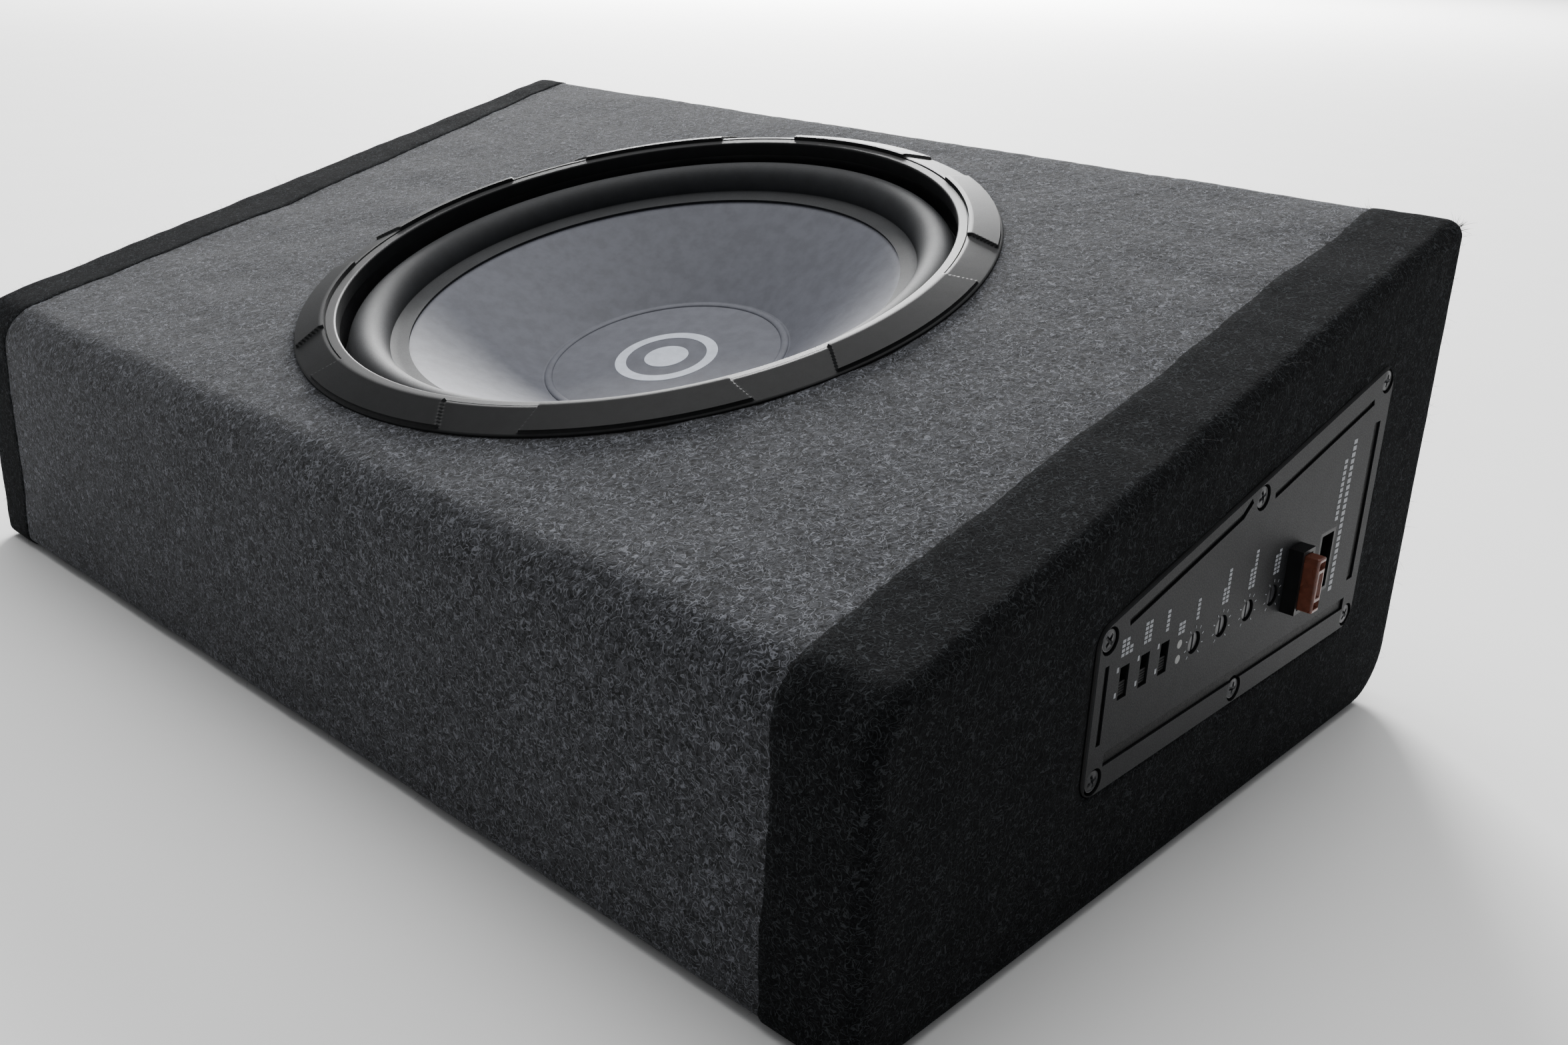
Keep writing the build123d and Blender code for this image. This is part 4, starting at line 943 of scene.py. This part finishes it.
# ---------------------------------------------------------------- woofer
def on_driver(radius, angle, height):
    """Points at a radius, an angle and a height on the woofer's axis, each a plain number or array."""
    woofer = driver()
    radius, angle, height = np.broadcast_arrays(radius, angle, height)
    flat = np.cos(angle)[..., None] * woofer.along + np.sin(angle)[..., None] * woofer.uphill
    return woofer.centre + radius[..., None] * flat + height[..., None] * woofer.outwards


def revolved(name, outline, finish, body, nodes, turns=256):
    """A closed outline of (radius, height) turned all round the woofer's axis."""
    angle = np.linspace(0, 2 * pi, turns, endpoint=False)[:, None]
    points = on_driver(outline[:, 0], angle, outline[:, 1]).reshape(-1, 3)
    quads = faces_out(points, grid_faces(turns, len(outline), True, True))
    return make_piece(name, points, quads, finish, body, nodes, weld=outline[:, 0].min() < 1e-6)


def ribbon(path, wall):
    """Closed outline of a strip of even wall thickness that follows a line of (radius, height)."""
    along = unit(np.gradient(path, axis=0))
    aside = np.stack([-along[:, 1], along[:, 0]], axis=1) * wall / 2
    return np.concatenate([path + aside, (path - aside)[::-1]])


class SubwooferTrimRing(bpy.types.Operator):
    """Builds the moulded trim ring with its raised blocks.

    The grid runs round the ring and along its section: a short upright edge, the bevel, a thin
    groove, a rounded lip and the wall down to the basket's rim. A block lifts the bevel along its
    normal and the crown up to the groove; its edges are smooth steps, and its ends slant because
    its half angle grows outwards.
    """

    bl_idname = "subwoofer.trim_ring"
    bl_label = "Trim ring"

    def execute(self, context):
        woofer = driver()
        outer, top = woofer.ring_radius, woofer.ring_height
        bevel, lip = woofer.ring_bevel, woofer.ring_lip
        upright, wall, under = 0.9, 1.6, -1.0
        groove_radius, groove_depth, lip_round = lip + 4.0, 0.75, 0.9
        block_start, block_ease, end_slant, end_ease = 0.05, 0.04, radians(1.0), radians(0.3)
        rake = np.array([bevel - outer, top - upright])
        share = np.linspace(0, 1, 34)
        slope = np.array([outer - 0.35, upright + 0.15]) + share[:, None] * (rake + [0.35, -0.15])
        lead_in = np.array(
            [[outer - 2 * wall, 0.0], [outer - 0.1, 0.0], [outer, 0.12], [outer, upright - 0.2]]
        )
        crown = np.array(
            [
                [bevel - 0.4, top + 0.02],
                [groove_radius + 0.35, top - 0.02],
                [groove_radius + 0.15, top - groove_depth],
                [groove_radius - 0.15, top - groove_depth],
                [groove_radius - 0.35, top - 0.25],
            ]
        )
        turn = np.linspace(0, pi / 2, 8)[:, None]
        lip_middle = np.array([lip + lip_round, top - 0.45 - lip_round])
        rim = lip_middle + lip_round * np.concatenate([-np.sin(turn), np.cos(turn)], axis=1)
        ceiling = top - 2 * wall
        foot = np.array([[lip, under], [lip + wall, under], [lip + wall, ceiling], [bevel, ceiling]])
        section = np.concatenate([lead_in, slope, crown, rim, foot])
        turns = 1440
        angle = np.linspace(0, 2 * pi, turns, endpoint=False)
        pitch = 2 * pi / woofer.block_count
        away = np.abs((angle + pitch / 2) % pitch - pitch / 2)[:, None]
        half = woofer.block_angle / 2 + end_slant - 2 * end_slant * share[None]
        ends = np.clip((half - away) / end_ease, 0, 1)
        ends = ends * ends * (3 - 2 * ends)
        sides = np.clip((share - block_start) / block_ease, 0, 1)
        lift = woofer.block_rise * ends * sides
        normal = unit(np.array([rake[1], -rake[0]]))
        radius = np.tile(section[:, 0], (turns, 1))
        height = np.tile(section[:, 1], (turns, 1))
        block = slice(len(lead_in), len(lead_in) + len(slope))
        radius[:, block] += lift * normal[0]
        height[:, block] += lift * normal[1]
        height[:, block.stop:block.stop + 2] += lift[:, -1:] * normal[1]
        points = on_driver(radius, angle[:, None], height).reshape(-1, 3)
        quads = faces_out(points, grid_faces(turns, len(section), True, True))
        make_piece(
            "moulded_trim_ring", points, quads, plain_finish("satin_abs_moulded"), "root", ("trim_ring",),
        )
        return {"FINISHED"}


def cone_height(radius):
    """Height of the cone's face at a radius, falling from its fold line at the cone's angle."""
    woofer = driver()
    return -woofer.cone_line - (woofer.cone_radius - radius) * np.tan(woofer.cone_angle)


class SubwooferCone(bpy.types.Operator):
    """Builds the cone, the dust cap with its bead and the printed ring and dot.

    Each is a closed outline turned round the woofer's axis. The cone's face is a straight line with
    a rounded shoulder at the fold line. The cap is a flat disc that steps down over a half round
    bead to its glue line.
    """

    bl_idname = "subwoofer.cone"
    bl_label = "Cone and cap"

    def execute(self, context):
        woofer = driver()
        finish = plain_finish("polypropylene_cone")
        neck = woofer.coil_radius
        cone_wall, flap_seat, disc_wall, bead, bead_rise = 1.2, -12.9, 0.8, 1.6, 0.75
        thin = cone_wall / np.cos(woofer.cone_angle)
        edge = woofer.cone_radius + 6.3
        face = np.linspace(woofer.cone_radius - 1.2, neck, 40)
        shoulder = np.array([[edge, flap_seat], [woofer.cone_radius + 1.5, -woofer.cone_line + 0.25]])
        front = np.concatenate([shoulder, np.stack([face, cone_height(face)], axis=1)])
        back = front[::-1] - [0, thin]
        outline = np.concatenate([front, back])
        revolved("moulded_cone", outline, finish, "cone_assembly", ("cone",), 320)
        top = cone_height(woofer.cap_radius) - 0.2
        disc = np.linspace(0, woofer.cap_disc, 24)
        disc_line = np.stack([disc, np.full(24, top)], axis=1)
        turn = np.linspace(0, pi, 12)[1:]
        bead_line = np.stack(
            [woofer.cap_disc + bead - bead * np.cos(turn), top + bead_rise * np.sin(turn)], axis=1
        )
        glue = np.array([[woofer.cap_radius, cone_height(woofer.cap_radius) + 0.05]])
        upper = np.concatenate([disc_line, bead_line, glue])
        under, foot = top - disc_wall, woofer.cap_radius - 1.2
        lower = np.array([[foot, cone_height(foot)], [woofer.cap_disc + 0.4, under], [0.0, under]])
        revolved(
            "moulded_dust_cap", np.concatenate([upper, lower]), finish, "cone_assembly", ("dust_cap",),
        )
        ink = plain_finish("pad_print_silver")
        turns, printed = 160, top + 0.12
        angle = np.linspace(0, 2 * pi, turns, endpoint=False)[:, None]
        points, quads = [], []
        for inner, outer in ((16.5, 21.0), (0.0, 9.0)):
            outline = rounded([(inner, top), (outer, top), (outer, printed), (inner, printed)], 0.0)[0]
            part = on_driver(outline[:, 0], angle, outline[:, 1]).reshape(-1, 3)
            quads.append(faces_out(part, grid_faces(turns, len(outline), True, True)) + sum(map(len, points)))
            points.append(part)
        make_piece(
            "printed_emblem", np.concatenate(points), np.concatenate(quads), ink, "cone_assembly",
            ("cap_emblem",), weld=True,
        )
        return {"FINISHED"}


def soft_ring(name, outline, finish, node, start_radius, end_radius, sectors=24):
    """A flexible ring as closed sectors, each its own object.

    A sector is the outline turned through its share of the circle. Its first and last steps are a
    twentieth of a degree, so that neighbours meet without a crease. The end outlines are capped by
    strips between the outline's two lines, which run the same way and hold as many points.
    """
    share = 360 / sectors
    fine = 0.05
    steps = np.radians(np.concatenate([[0, fine], np.linspace(0, share, 11)[1:-1], [share - fine, share]]))
    half = len(outline) // 2
    strip = np.arange(half - 1)
    cap = np.stack([strip, strip + 1, len(outline) - 2 - strip, len(outline) - 1 - strip], axis=1)
    last = (len(steps) - 1) * len(outline)
    for index in range(sectors):
        start = 2 * pi / sectors * index
        points = on_driver(outline[:, 0], (start + steps)[:, None], outline[:, 1]).reshape(-1, 3)
        quads = grid_faces(len(steps), len(outline), False, True)
        skin = np.concatenate([quads, cap, cap[:, ::-1] + last])
        piece = make_piece(f"{name}_{index + 1:02d}", points, skin, finish, None, (node,), True, False)
        middle = start + pi / sectors
        ends = [Vector(on_driver(radius, middle, 0.0) * MM) for radius in (start_radius, end_radius)]
        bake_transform(piece)


class SubwooferSurround(bpy.types.Operator):
    """Builds the rubber surround: an outer flange, a half roll and a flap glued to the cone.

    The wall follows one line: flat at the flange, a half ellipse a quarter taller than it is wide,
    and a straight fall to the cone.
    """

    bl_idname = "subwoofer.surround"
    bl_label = "Surround"

    def execute(self, context):
        woofer = driver()
        wall = woofer.roll_wall
        seat = -woofer.landing + wall / 2
        turn = np.linspace(0.0, pi, 29)
        middle, tall = woofer.roll_radius - wall / 2, 1.25
        across = woofer.crest_radius + middle * np.cos(turn)
        roll = np.stack([across, seat + wall / 2 + tall * middle * np.sin(turn)], axis=1)
        flange = np.array([[woofer.crest_radius + woofer.roll_radius + 1.4, seat],
                           [woofer.crest_radius + middle + 0.55, seat]])
        inner = woofer.crest_radius - middle
        flap = np.array([[inner - 0.55, seat - 0.05], [inner - 3.4, seat - 0.6],
                         [woofer.cone_radius + 0.1, -woofer.cone_line + wall / 2]])
        line = np.concatenate([flange, roll, flap])
        soft_ring(
            "rubber_surround", ribbon(line, wall), plain_finish("butyl_rubber_pressed"), "surround",
            woofer.crest_radius + woofer.roll_radius + 0.8, inner - 0.4,
        )
        return {"FINISHED"}


class SubwooferSpider(bpy.types.Operator):
    """Builds the corrugated cloth spider: a sine of five waves between its flat seat and the former."""

    bl_idname = "subwoofer.spider"
    bl_label = "Spider"

    def execute(self, context):
        woofer = driver()
        cloth, depth, wave_rise, waves_across = 0.8, -woofer.spider_depth - 0.4, 1.2, 5
        radius = np.linspace(woofer.spider_radius - 4.0, woofer.coil_radius + 1.0, 81)
        share = (radius[0] - radius) / (radius[0] - radius[-1])
        wave = np.stack([radius, wave_rise * np.sin(share * waves_across * 2 * pi) + depth], axis=1)
        seat, neck = ([[end, depth]] for end in (woofer.spider_radius, woofer.coil_radius))
        soft_ring(
            "cloth_spider", ribbon(np.concatenate([seat, wave, neck]), cloth), dipped_cotton(), "spider",
            radius[0], radius[-1], 16,
        )
        return {"FINISHED"}


class SubwooferTinselLeads(bpy.types.Operator):
    """Carries the two tinsel leads over from the frame, in their braided finish."""

    bl_idname = "subwoofer.tinsel_leads"
    bl_label = "Tinsel leads"

    def execute(self, context):
        mesh = frame["nodes"]["tinsel_leads"].data.copy()
        mesh.materials.clear()
        merge_doubles(mesh, 1e-6)
        piece = finished_object("braided_tinsel_leads", mesh, plain_finish("braided_tinsel"))
        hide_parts("tinsel_leads")
        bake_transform(piece)
        return {"FINISHED"}


# ---------------------------------------------------------------- amplifier panel
# The panel's controls, each with the rows of printed marks by it: how far aside, and how long.
TRIMMER_ROWS = {
    "gain": ((0.0, 7.6),),
    "bass_boost": ((-1.1, 6.2), (1.1, 10.8)),
    "crossover": ((-1.1, 7.6), (1.1, 12.4)),
    "subsonic": ((-1.1, 7.6), (1.1, 9.2)),
}
SWITCH_ROWS = {
    "turn_on": ((-2.2, 6.2), (0.0, 6.2), (2.2, 3.0)),
    "input_level": ((-1.1, 7.6), (1.1, 7.6)),
    "phase": ((0.0, 7.6),),
}


def disc_piece(name, centre, radius, front, back, height, finish, body, nodes, chamfer=0.25):
    """A round head facing +X: a polar grid whose front is raised or sunk by a height function.

    The grid's rings run from the middle to the rim, over a small chamfer and down the side, to the
    middle of the back. The height function takes y and z from the centre and gives x from the front.
    """
    turns = 96
    rings = np.concatenate([np.linspace(0, radius - chamfer, 26), [radius]])
    angle = np.linspace(0, 2 * pi, turns, endpoint=False)
    y = rings[:, None] * np.cos(angle)
    z = rings[:, None] * np.sin(angle)
    x = front + height(y, z)
    x[-1] = front - chamfer
    side = np.array([radius, radius, 0.0])[:, None]
    y = np.concatenate([y, side * np.cos(angle)])
    z = np.concatenate([z, side * np.sin(angle)])
    x = np.concatenate([x, np.full((1, turns), front - chamfer - 0.02), np.full((2, turns), back)])
    points = np.stack([x, centre[0] + y, centre[1] + z], axis=-1).reshape(-1, 3)
    quads = faces_out(points, grid_faces(len(x), turns, False, True))
    return make_piece(name, points, quads, finish, body, nodes, weld=True)


def step_down(distance, softness=0.12):
    """One inside a line and zero outside it, with a soft edge, for signed distances in millimetres."""
    share = np.clip(0.5 - distance / softness, 0, 1)
    return share * share * (3 - 2 * share)


def cross_recess(y, z, arm, half_slot, depth, dome):
    """A domed head with a cross-shaped recess that tapers to its middle."""
    bar = np.minimum(
        np.maximum(np.abs(y) - arm, np.abs(z) - half_slot), np.maximum(np.abs(z) - arm, np.abs(y) - half_slot)
    )
    away = np.hypot(y, z)
    return -dome * away ** 2 - depth * step_down(bar) * np.clip(1.15 - away / arm, 0.25, 1)


class SubwooferPanelScrews(bpy.types.Operator):
    """Builds the six cross-recessed screw heads of the panel, each on its CAD screw's place."""

    bl_idname = "subwoofer.panel_screws"
    bl_label = "Panel screws"

    def execute(self, context):
        places = node_islands(frame["nodes"]["panel_screws"])
        finish = plain_finish("black_zinc_plate")
        for index, (low, high) in enumerate(places):
            centre = (low + high)[1:] / 2
            radius = (high - low)[1] / 2
            front = high[0]
            lean = radians(17 + 31 * index)

            def head(y, z):
                turned_y = y * cos(lean) + z * sin(lean)
                turned_z = z * cos(lean) - y * sin(lean)
                return cross_recess(turned_y, turned_z, radius * 0.62, radius * 0.15, 0.9, 0.035)

            disc_piece(
                f"panel_screw_{index + 1}", centre, radius, front, front - 1.9, head, finish, "root",
                ("panel_screws",),
            )
        return {"FINISHED"}


def node_islands(node):
    """Lowest and highest corners, in millimetres, of the separate solids of a CAD node."""
    work = bmesh.new()
    work.from_mesh(node.data)
    bmesh.ops.remove_doubles(work, verts=work.verts, dist=1e-6)
    left = set(work.verts)
    found = []
    while left:
        first = left.pop()
        seen, front = {first}, [first]
        while front:
            vertex = front.pop()
            for edge in vertex.link_edges:
                other = edge.other_vert(vertex)
                if other not in seen:
                    seen.add(other)
                    front.append(other)
        left -= seen
        places = np.array([vertex.co for vertex in seen]) / MM
        found.append((places.min(axis=0), places.max(axis=0)))
    work.free()
    return sorted(found, key=lambda pair: tuple(pair[0][1:].round(1)))


class SubwooferTrimmerShafts(bpy.types.Operator):
    """Builds the four slotted trimmer shafts, each turning with its own control."""

    bl_idname = "subwoofer.trimmer_shafts"
    bl_label = "Trimmer shafts"

    def execute(self, context):
        finish = plain_finish("trimmer_acetal")
        for control in TRIMMER_ROWS:
            low, high = box_mm(f"{control}_shaft")
            centre = (low + high)[1:] / 2

            def face(y, z):
                return -0.95 * step_down(np.abs(y) - 0.45) - 0.012 * (y ** 2 + z ** 2)

            disc_piece(
                f"{control}_slotted_shaft", centre, (high - low)[1] / 2, high[0], low[0], face, finish,
                f"{control}_control", (f"{control}_shaft",), 0.3,
            )
        return {"FINISHED"}


def rounded_block(low, high, radius, cells, front=None):
    """A block with rounded edges: each point of a box's grid is pushed to the radius from its core.

    A point is the nearest point of the core box, plus the radius along the way to it. front moves
    the points of the +X face by a function of y and z.
    """
    low, high = np.asarray(low, float), np.asarray(high, float)
    faces, points = [], []
    for axis in range(3):
        others = [other for other in range(3) if other != axis]
        for end in (0, 1):
            spans = [np.linspace(low[other], high[other], cells[other] + 1) for other in others]
            first, second = np.meshgrid(*spans, indexing="ij")
            part = np.zeros((first.size, 3))
            part[:, others[0]], part[:, others[1]] = first.ravel(), second.ravel()
            part[:, axis] = (low, high)[end][axis]
            core = np.clip(part, low + radius, high - radius)
            part = core + unit(part - core) * radius
            if front is not None and axis == 0 and end == 1:
                flat = part[:, 0] > high[0] - 1e-6
                part[flat, 0] += front(part[flat, 1], part[flat, 2])
            quads = grid_faces(cells[others[0]] + 1, cells[others[1]] + 1)
            guide = np.zeros_like(part)
            guide[:, axis] = 2 * end - 1
            faces.append(faces_out(part, quads, guide) + sum(map(len, points)))
            points.append(part)
    return np.concatenate(points), np.concatenate(faces)


class SubwooferSwitchKnobs(bpy.types.Operator):
    """Builds the three slide-switch knobs with grip ridges 0.9 mm apart."""

    bl_idname = "subwoofer.switch_knobs"
    bl_label = "Switch knobs"

    def execute(self, context):
        finish = plain_finish("gloss_nylon_moulded")
        for control in SWITCH_ROWS:
            low, high = box_mm(f"{control}_knob")

            def ridges(y, z):
                return 0.16 * np.cos((z - low[2]) * 2 * pi / 0.9) - 0.16

            points, quads = rounded_block(low, high, 0.3, (8, 12, 42), ridges)
            make_piece(
                f"{control}_ridged_knob", points, quads, finish, f"{control}_slider", (f"{control}_knob",),
                weld=True,
            )
        return {"FINISHED"}


class SubwooferFuse(bpy.types.Operator):
    """Builds the fuse's tinted body with a sunk window and two notches in its crown."""

    bl_idname = "subwoofer.fuse"
    bl_label = "Blade fuse"

    def execute(self, context):
        low, high = box_mm("fuse_body")
        centre = (low + high) / 2

        def crown(y, z):
            window = np.maximum(np.abs(y - centre[1]) - 1.3, np.abs(z - centre[2]) - 4.2)
            notch = np.abs(np.abs(z - centre[2]) - 6.9) - 1.2
            return -0.9 * step_down(window, 0.4) - 1.3 * step_down(notch, 0.4)

        points, quads = rounded_block(low, high, 0.7, (24, 20, 90), crown)
        make_piece(
            "tinted_fuse_body", points, quads, tinted_polysulfone(), "fuse", ("fuse_body",),
            weld=True,
        )
        return {"FINISHED"}


def plates(rectangles, front, rise):
    """Thin closed plates standing on the panel.

    A rectangle is its middle (y, z), its half sizes and its turn. All eight corners of all plates
    are worked out together.
    """
    marks = np.array(rectangles, float)
    signs = np.array([(-1, -1), (1, -1), (1, 1), (-1, 1)], float)
    local = signs[None] * marks[:, None, 2:4]
    turned = spin((local[..., 0], local[..., 1]), marks[:, 4:5])
    flat = marks[:, None, :2] + turned
    low = np.concatenate([np.full((*flat.shape[:2], 1), front - 0.05), flat], axis=2)
    top = np.concatenate([np.full((*flat.shape[:2], 1), front + rise), flat], axis=2)
    points = np.concatenate([low, top], axis=1).reshape(-1, 3)
    block = np.array([(3, 2, 1, 0), (4, 5, 6, 7), (0, 1, 5, 4), (1, 2, 6, 5), (2, 3, 7, 6), (3, 0, 4, 7)])
    faces = (block[None] + (np.arange(len(marks)) * 8)[:, None, None]).reshape(-1, 4)
    return points, faces


def word_rows(y, z, rows, size=1.0):
    """Rows of upright blocks 1 mm long and 1.45 mm apart, in the place of printed words.

    Each row is how far it lies from y and how long it is; all start at the same z. The size
    multiplies the blocks and their spacing.
    """
    marks = []
    for aside, reach in rows:
        places = z + np.arange(0.5 * size, reach, 1.45 * size)
        marks += [(y + aside, place, 0.8 * size, 0.5 * size, 0.0) for place in places]
    return marks


TICK_TURNS = np.linspace(radians(-50), radians(230), 9)
TICK_RADIUS = 5.2


class SubwooferPanelLegend(bpy.types.Operator):
    """Prints plain marks on the panel: ticks round each trimmer, and blocks where a maker puts words."""

    bl_idname = "subwoofer.panel_legend"
    bl_label = "Panel legend"

    def execute(self, context):
        front = PANEL_HIGH.x / MM
        marks = []
        for control, rows in TRIMMER_ROWS.items():
            low, high = box_mm(f"{control}_shaft")
            middle = (low + high) / 2
            for turn in TICK_TURNS:
                y, z = middle[1:] + TICK_RADIUS * np.array([cos(turn), sin(turn)])
                marks.append((y, z, 0.5, 0.15, turn))
            marks += word_rows(middle[1], high[2] + 4.4, rows)
        for control, rows in SWITCH_ROWS.items():
            low, high = box_mm(f"{control}_switch")
            middle = (low + high) / 2
            marks += word_rows(middle[1], high[2] + 1.0, rows)
            for step in (-4.0, 4.0):
                marks.append((middle[1] - 3.9, middle[2] + 1.0 + step, 0.5, 0.8, 0.0))
        low, high = box_mm("power_leds")
        marks += word_rows((low + high)[1] / 2, high[2] + 2.0, ((-1.0, 4.6), (1.0, 4.6)))
        low, high = box_mm("harness_socket")
        marks += word_rows(high[1], high[2] + 2.5, ((-1.6, 23.0),), 1.4)
        marks += word_rows(high[1], low[2] - 2.0, ((3.4, high[2] - low[2] + 33.0),), 1.6)
        points, faces = plates(marks, front, 0.06)
        make_piece("panel_legend_print", points, faces, plain_finish("pad_print_white"))
        return {"FINISHED"}


# ---------------------------------------------------------------- carried-over nodes
CARRIED_NODES = {
    "raw_fibreboard": (
        "bottom_board", "baffle_board", "low_side_board", "tall_side_board", "left_end_board",
        "right_end_board",
    ),
    "closed_cell_foam": ("driver_gasket", "panel_gasket"),
    "e_coated_steel": ("driver_basket",),
    "zinc_plated_steel": ("top_plate", "back_plate", "circuit_brackets", "transistor_clamp"),
    "sintered_ferrite": ("magnet",),
    "wound_copper": ("voice_coil", "transformer_winding"),
    "tinned_brass": ("fuse_blades", "harness_pins"),
    "gloss_nylon_moulded": (
        "fuse_holder", "harness_socket", "turn_on_switch", "input_level_switch", "phase_switch",
        "control_pots",
    ),
    "black_zinc_plate": ("driver_screws", "motor_screws"),
    "phenolic_moulded": ("terminal_block", "output_terminal"),
    "rolled_foil": ("coil_former",),
    "spark_textured_abs": ("control_panel",),
    "diffuse_lens": ("power_leds",),
    "solder_masked_laminate": ("circuit_board",),
    "extruded_aluminium": ("heat_sink",),
    "moulded_package": ("power_transistors",),
    "coated_core": ("transformer_core",),
    "shrink_sleeve": ("filter_capacitors",),
    "pvc_insulation_black": ("negative_speaker_lead",),
    "pvc_insulation_red": ("positive_speaker_lead",),
}


class SubwooferCarriedNodes(bpy.types.Operator):
    """Gives every CAD node that keeps its shape the finish of the material it is made of."""

    bl_idname = "subwoofer.carried_nodes"
    bl_label = "Carried nodes"

    def execute(self, context):
        for make in (wound_copper, spark_textured_abs, solder_masked_laminate):
            make()
        for name, nodes in CARRIED_NODES.items():
            for node in nodes:
                mesh = frame["nodes"][node].data
                mesh.materials.clear()
                mesh.materials.append(plain_finish(name))
        return {"FINISHED"}


# ---------------------------------------------------------------- stage
def look_along(forward, up):
    """A camera's or lamp's turn, from the way it looks and its up direction."""
    forward, up = Vector(forward).normalized(), Vector(up)
    right = forward.cross(up).normalized()
    up = right.cross(forward)
    return Matrix((right, up, -forward)).transposed().to_4x4()


def soft_lamp(name, place, target, size, power):
    """A square area lamp that looks at a target."""
    lamp = bpy.data.lights.new(name, "AREA")
    lamp.shape = "SQUARE"
    lamp.size = size
    lamp.energy = power
    holder = bpy.data.objects.new(name, lamp)
    holder.matrix_world = Matrix.Translation(place) @ look_along(Vector(target) - Vector(place), (0, 0.01, 1))
    bpy.context.scene.collection.objects.link(holder)


BRIGHT_SIDE = (-0.65, 0.75, 0.1)
LIGHT_ROUND = {"From Min": -0.5, "From Max": 0.95, "To Min": 0.22, "To Max": 0.7}
LIGHT_TINT = (0.97, 0.98, 1.0, 1)
LAMPS = (  # name, place, target, size and power
    ("backdrop_lamp", (-4.5, 4.8, 2.6), (-3.6, 3.9, 0.0), 2.6, 1700.0),
    ("overhead", (-0.4, 0.4, 2.0), (0.0, 0.0, 0.08), 2.2, 53.0),
)
FLOOR_REACH, FLOOR_CELLS, FLOOR_HEIGHT = 9000.0, 40, -0.3
CAMERA_PLACE = (0.44364, -0.40339, 0.27703)
CAMERA_LOOK, CAMERA_UP = (-0.62319, 0.68945, -0.36918), (-0.27613, 0.24768, 0.92866)
CAMERA_LENS, CAMERA_SENSOR, CAMERA_NEAR, CAMERA_FAR = 35.71, 36.0, 0.02, 60.0


class SubwooferStage(bpy.types.Operator):
    """Sets up the floor, the studio light and the camera.

    The floor is a large flat square. The light from all round is strongest on the bright side,
    behind the box as the camera sees it, and falls to about a third on the other.
    """

    bl_idname = "subwoofer.stage"
    bl_label = "Stage"

    def execute(self, context):
        span = np.linspace(-FLOOR_REACH, FLOOR_REACH, FLOOR_CELLS + 1)
        x, y = np.meshgrid(span, span, indexing="ij")
        points = np.stack([x.ravel(), y.ravel(), np.full(x.size, FLOOR_HEIGHT)], axis=1)
        quads = grid_faces(len(span), len(span))
        quads = faces_out(points, quads, np.tile([0.0, 0.0, 1.0], (len(points), 1)))
        floor = make_piece("sweep_floor", points, quads, plain_finish("painted_sweep"), ride=False)
        world = bpy.data.worlds.new("studio") if context.scene.world is None else context.scene.world
        context.scene.world = world
        world.use_nodes = True
        tree = world.node_tree
        background = tree.nodes["Background"]
        background.inputs["Color"].default_value = LIGHT_TINT
        way = add_node(tree, "ShaderNodeTexCoord").outputs["Generated"]
        share = add_node(tree, "ShaderNodeVectorMath", {"operation": "DOT_PRODUCT", 1: BRIGHT_SIDE}, {0: way})
        strength = add_node(tree, "ShaderNodeMapRange", LIGHT_ROUND, {"Value": share.outputs["Value"]})
        tree.links.new(strength.outputs["Result"], background.inputs["Strength"])
        for lamp in LAMPS:
            soft_lamp(*lamp)
        camera = bpy.data.cameras.new("camera")
        camera.lens, camera.sensor_width = CAMERA_LENS, CAMERA_SENSOR
        camera.clip_start, camera.clip_end = CAMERA_NEAR, CAMERA_FAR
        holder = bpy.data.objects.new("camera", camera)
        holder.matrix_world = Matrix.Translation(CAMERA_PLACE) @ look_along(CAMERA_LOOK, CAMERA_UP)
        context.scene.collection.objects.link(holder)
        context.scene.camera = holder
        return {"FINISHED"}


class SubwooferPanel(bpy.types.Panel):
    """Lists the sizes, the colours and the operators that build the object."""

    bl_idname = "SUBWOOFER_PT_build"
    bl_label = "Subwoofer"
    bl_space_type = "VIEW_3D"
    bl_region_type = "UI"
    bl_category = "Subwoofer"

    def draw(self, context):
        scene = context.scene
        for group in (scene.subwoofer_enclosure, scene.subwoofer_driver, scene.subwoofer_colours):
            shown = self.layout.box()
            for key in group.__annotations__:
                shown.prop(group, key)
        for operator in OPERATORS:
            self.layout.operator(operator.bl_idname)


GROUPS = (SubwooferEnclosureSizes, SubwooferDriverSizes, SubwooferColours)
OPERATORS = (
    SubwooferStage,
    SubwooferGreyFelt,
    SubwooferBlackFelt,
    SubwooferStrayFibres,
    SubwooferTrimRing,
    SubwooferCone,
    SubwooferSurround,
    SubwooferSpider,
    SubwooferTinselLeads,
    SubwooferPanelScrews,
    SubwooferTrimmerShafts,
    SubwooferSwitchKnobs,
    SubwooferFuse,
    SubwooferPanelLegend,
    SubwooferCarriedNodes,
)


def register():
    """Registers the properties, the operators and the panel."""
    for part in (*GROUPS, *OPERATORS, SubwooferPanel):
        bpy.utils.register_class(part)
    bpy.types.Scene.subwoofer_enclosure = PointerProperty(type=SubwooferEnclosureSizes)
    bpy.types.Scene.subwoofer_driver = PointerProperty(type=SubwooferDriverSizes)
    bpy.types.Scene.subwoofer_colours = PointerProperty(type=SubwooferColours)


def unregister():
    """Removes what register added."""
    del bpy.types.Scene.subwoofer_colours
    del bpy.types.Scene.subwoofer_driver
    del bpy.types.Scene.subwoofer_enclosure
    for part in reversed((*GROUPS, *OPERATORS, SubwooferPanel)):
        bpy.utils.unregister_class(part)


def main():
    register()
    for operator in OPERATORS:
        getattr(bpy.ops.subwoofer, operator.bl_idname.split(".")[1])()


if __name__ == "__main__":
    main()
